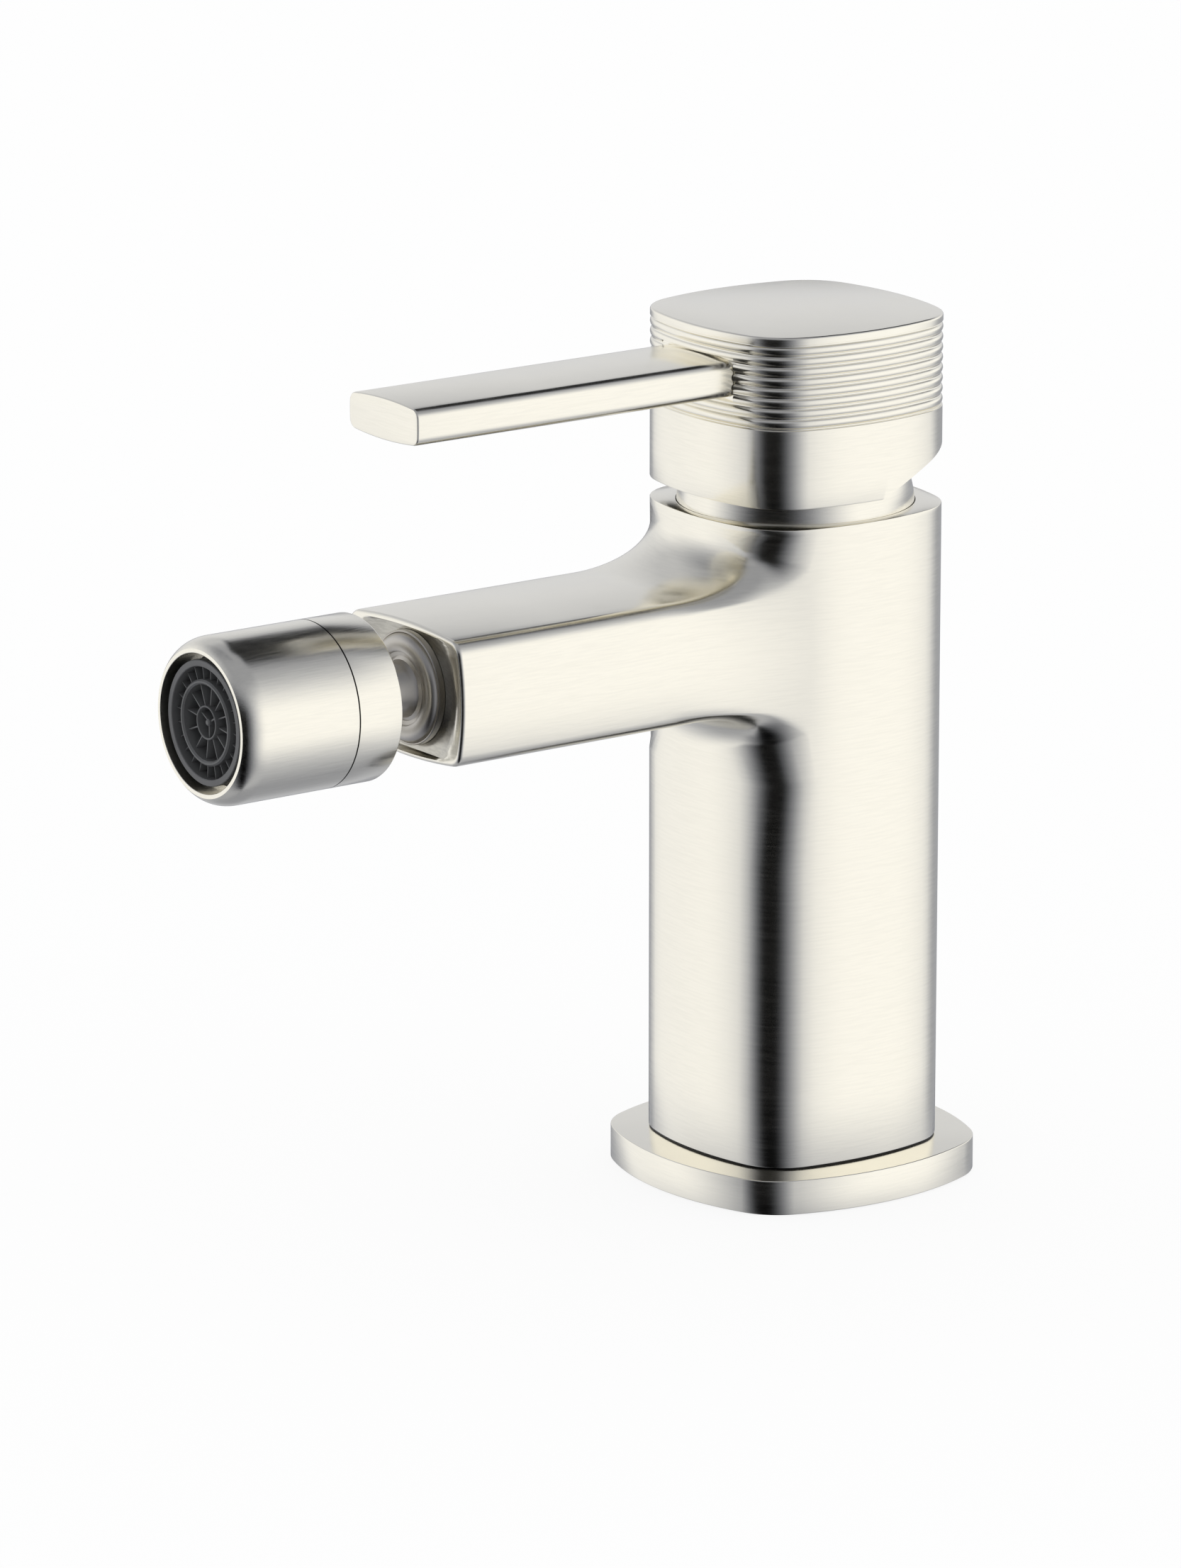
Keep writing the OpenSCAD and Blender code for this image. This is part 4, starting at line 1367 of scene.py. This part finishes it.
    def _ring_part(
        self, outer: float, inner: float, start: float, end: float, edge: float
    ) -> bpy.types.Object:
        """Turn a square-sectioned ring with softened front edges."""
        profile = [(outer, start), (outer, end - edge), (outer - edge, end), (inner + edge, end),
                   (inner, end - edge), (inner, start), (outer, start)]
        return turned("ring", profile, self.axis_z, 72)

    def _vane(self, r0: float, r1: float, wide: float, start: float, end: float) -> bpy.types.Object:
        """Shape one vane: a thin blade with a rounded front edge.

        Args:
            r0: Inner radius.
            r1: Outer radius.
            wide: Thickness.
            start: Back end along the spout.
            end: Front edge along the spout.

        Returns:
            The blade, standing along +X from the axis.
        """
        obj = cutter_box((r0, -end, self.axis_z - wide / 2), (r1, -start, self.axis_z + wide / 2))
        make_active(obj)
        bpy.ops.object.mode_set(mode="EDIT")
        bpy.ops.mesh.select_mode(type="EDGE")
        bpy.ops.mesh.select_all(action="DESELECT")
        mesh = bmesh.from_edit_mesh(obj.data)
        for edge in mesh.edges:
            a, b = (v.co for v in edge.verts)
            if max(abs(a.y + end * MM), abs(b.y + end * MM)) < 1e-6 < abs(a.x - b.x):
                edge.select_set(True)
        bmesh.update_edit_mesh(obj.data)
        bpy.ops.mesh.bevel(offset=wide * 0.32 * MM, segments=2, affect="EDGES")
        bpy.ops.object.mode_set(mode="OBJECT")
        return obj

    def _round(self, blade: bpy.types.Object, count: int, start: float = 0.0) -> List[bpy.types.Object]:
        """Copy a blade round the axis, each copy with its own mesh."""
        copies = []
        centre = Matrix.Translation((0.0, 0.0, self.axis_z * MM))
        for i in range(count):
            copy = blade.copy()
            copy.data = blade.data.copy()
            bpy.context.collection.objects.link(copy)
            turn = Matrix.Rotation(math.radians(start) + 2 * math.pi * i / count, 4, "Y")
            copy.data.transform(centre @ turn @ centre.inverted())
            copies.append(copy)
        bpy.data.objects.remove(blade, do_unlink=True)
        return copies

    def _insert(self, finishes: Finishes) -> bpy.types.Object:
        """Shape the aerator insert: rings, vanes, spokes and the three-armed centre."""
        face = self.front - self.recess
        floor = face - 4.2
        root = floor - 0.5
        ground = [(0.0, self.insert_back), (self.insert_r, self.insert_back), (self.insert_r, 119.4),
                  (self.ring_r - 0.2, 119.45), (9.7, floor), (8.5, floor - 0.6), (7.3, floor),
                  (5.0, floor - 0.2), (3.6, floor - 0.9), (0.0, floor)]
        pin = [(0.0, root), (0.62, root), (0.62, face - 0.9), (0.4, face - 0.7), (0.0, face - 0.65)]
        obj = turned("aerator_insert", ground, self.axis_z, 72)
        parts = [
            self._ring_part(self.ring_r, self.ring_r - 1.14, 119.0, face, 0.12),
            self._ring_part(7.33, 6.49, floor - 0.8, face - 0.15, 0.28),
            self._ring_part(2.92, 2.58, floor - 0.8, face - 0.5, 0.1),
            turned("pin", pin, self.axis_z, 24),
        ]
        for r0, r1, wide, count, start in (
            (7.0, self.ring_r - 0.7, 0.2, self.vanes, 4.0),
            (2.75, 6.8, 0.26, self.spokes, 8.0),
            (0.4, 2.75, 0.32, self.arms, 90.0),
        ):
            parts += self._round(self._vane(r0, r1, wide, root, face - 1.1), count, start)
        join(obj, parts)
        obj.name = "aerator_insert_skin"
        return dress(obj, finishes.grey, "nozzle", "aerator_body", angle=30.0)


@dataclass
class InnerParts:
    """CAD nodes whose shape is right and that only need a finish."""

    plan: Dict[str, Tuple[str, ...]] = field(default_factory=lambda: {
        "brass": ("cartridge_nut", "spindle"),
        "white": ("cartridge_housing", "cartridge_base", "ball_liner"),
        "grey": ("disc_carrier", "spindle_guide"),
        "red": ("hot_stop_ring",),
        "ceramic": ("fixed_disc", "moving_disc"),
        "steel": ("pivot_pin", "lever_screw", "grub_screw", "aerator_screen"),
        "rubber": (
            "base_seal", "dome_oring", "port_seal", "disc_seal", "connector_oring", "ball_seal",
            "aerator_washer",
        ),
    })

    def dress(self, finishes: Finishes) -> None:
        """Give every kept node its finish.

        Args:
            finishes: The finishes.
        """
        for finish, names in self.plan.items():
            for name in names:
                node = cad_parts[name]
                node.data.materials.clear()
                node.data.materials.append(getattr(finishes, finish))
                LOG.info("%s: finished as %s", name, finish)


# --------------------------------------------------------------------- staging


@dataclass
class Studio:
    """White studio: camera, room light and pale floor.

    Attributes:
        centre: Place of the camera in metres.
        right: Direction to the picture's right.
        azimuth: Direction of the camera from the mixer, in degrees.
        height: Its angle above the level.
        facing: Sine and cosine of the far side's turn from -X.
        lamp: Strength of the room where nothing dims it.
        fill: Strength of the room for what doesn't mirror it.
        stripe: Darkness of the broad gap on the camera's side.
        gap: Darkness of the high gap on the far side.
        back: Darkness of the far wall.
        low: Darkness of the ground on the far side.
        above: Darkness straight up.
        below: Darkness straight down.
        left: Darkness on the camera's left.
    """

    centre: Point = (1.153672, -0.890048, 0.453265)
    right: Point = (0.5913, 0.8064, 0.0)
    lens: float = 197.6
    azimuth: float = -36.255
    height: float = 14.778
    facing: Flat = (0.6018, 0.7986)
    lamp: float = 1.02
    fill: float = 0.96
    stripe: float = 0.998
    gap: float = 0.98
    back: float = 0.27
    low: float = 0.6
    above: float = 0.66
    below: float = 0.52
    left: float = 0.08

    def camera(self) -> None:
        """Set the camera of the photograph."""
        data = bpy.data.cameras.new("photo_camera")
        data.lens = self.lens
        data.sensor_width = 36.0
        data.clip_end = 20.0
        obj = bpy.data.objects.new("photo_camera", data)
        right = Vector(self.right).normalized()
        el, az = math.radians(self.height), math.radians(self.azimuth)
        back = Vector((math.cos(el) * math.cos(az), math.cos(el) * math.sin(az), math.sin(el)))
        columns = (right, back.cross(right), back, Vector(self.centre))
        obj.matrix_world = Matrix([[column[row] for column in columns] for row in range(3)] + [[0, 0, 0, 1]])
        bpy.context.collection.objects.link(obj)
        bpy.context.scene.camera = obj

    def brightness(self, x: Signal, y: Signal, z: Signal) -> Signal:
        """Say how bright the room looks to a mirroring surface.

        Args:
            x: First part of the direction.
            y: Second part.
            z: Third part.

        Returns:
            The brightness: white, with the dark gaps between the soft boxes.
        """
        s, c = self.facing
        degrees = 180 / math.pi
        turn = y.angle(x) * degrees
        away = (x * -s - y * c).angle(y * s - x * c) * degrees
        tilt = z.apply("ARCSINE") * degrees
        stripe = turn.window(-134, -70, -50, 28) * tilt.band(70, 10)
        gap = turn.window(64, 98, 141, 152) * tilt.window(28, 38, 64, 74)
        back = away.window(-59, -25, 27, 51) * tilt.window(-6, 4, 32, 44)
        low = away.window(-91, -41, 27, 51) * tilt.band(4, -6) * (1 - tilt.band(-20, -36) * 0.5)
        level = (1 - stripe * self.stripe) * (1 - gap * self.gap)
        level = level * (1 - back * self.back) * (1 - low * self.low)
        level = level * (1 - tilt.band(10, 64) * self.above) * (1 - tilt.band(-18, -58) * self.below)
        return level * self.lamp - turn.band(-104, -160) * self.left

    def room(self) -> None:
        """Light the room: the world lights evenly, and is seen in detail only where a surface mirrors it."""
        world = bpy.data.worlds.new("studio")
        bpy.context.scene.world = world
        world.use_nodes = True
        sheet = Sheet(world.node_tree)
        direction = sheet.add("ShaderNodeTexCoord").out("Generated")
        split = sheet.add("ShaderNodeSeparateXYZ", None, {"Vector": direction})
        level = self.brightness(split.out("X"), split.out("Y"), split.out("Z"))
        mirrored, shown = self.seen(sheet)
        strength = (shown + (1 - shown) * self.fill) * (1 - mirrored + mirrored * level.high(0.0))
        cool = blend(sheet, (1 - strength).high(0.0), (1.0, 1.0, 1.0), (0.78, 0.83, 1.0))
        light = sheet.add("ShaderNodeBackground", None, {"Color": cool, "Strength": strength})
        sheet.add("ShaderNodeOutputWorld", None, {"Surface": light.out()})

    def seen(self, sheet: Sheet) -> Tuple[Signal, Signal]:
        """Tell a mirrored ray, and any ray that ends in the picture."""
        rays = sheet.add("ShaderNodeLightPath")
        mirrored = rays.out("Is Glossy Ray")
        return mirrored, (rays.out("Is Camera Ray") + mirrored + rays.out("Is Transmission Ray")).low(1.0)

    def floor(self) -> None:
        """Lay the pale floor, white to the eye, with the mixer's soft shadow."""
        deselect_all()
        bpy.ops.mesh.primitive_plane_add(size=8.0, location=(0.0, 0.0, -0.0002))
        obj = bpy.context.object
        obj.name = "studio_floor"
        material = bpy.data.materials.new("floor_white")
        sheet = shader_of(material)
        shown = self.seen(sheet)[1]
        paint = sheet.add("ShaderNodeBsdfDiffuse", None, {"Color": (0.98, 0.98, 0.98, 1.0)})
        glow = sheet.add("ShaderNodeEmission", None, {"Color": (1.0, 1.0, 1.0, 1.0), "Strength": 1.0})
        mix = sheet.add("ShaderNodeMixShader", None, {0: shown * 0.86, 1: paint.out(), 2: glow.out()})
        sheet.add("ShaderNodeOutputMaterial", None, {"Surface": mix.out()})
        obj.data.materials.append(material)
        obj.visible_glossy = False

    def build(self) -> None:
        """Set up the camera, the light and the floor."""
        self.camera()
        self.room()
        self.floor()
        bpy.context.scene.view_settings.view_transform = "Standard"
        LOG.info("studio ready")


def main() -> None:
    """Build the pieces in order."""
    Studio().build()
    finishes = Finishes()
    for piece in (BasePlate(), Body(), Dome(), Handle(), Nozzle()):
        piece.build(finishes)
    InnerParts().dress(finishes)


if __name__ == "__main__":
    main()
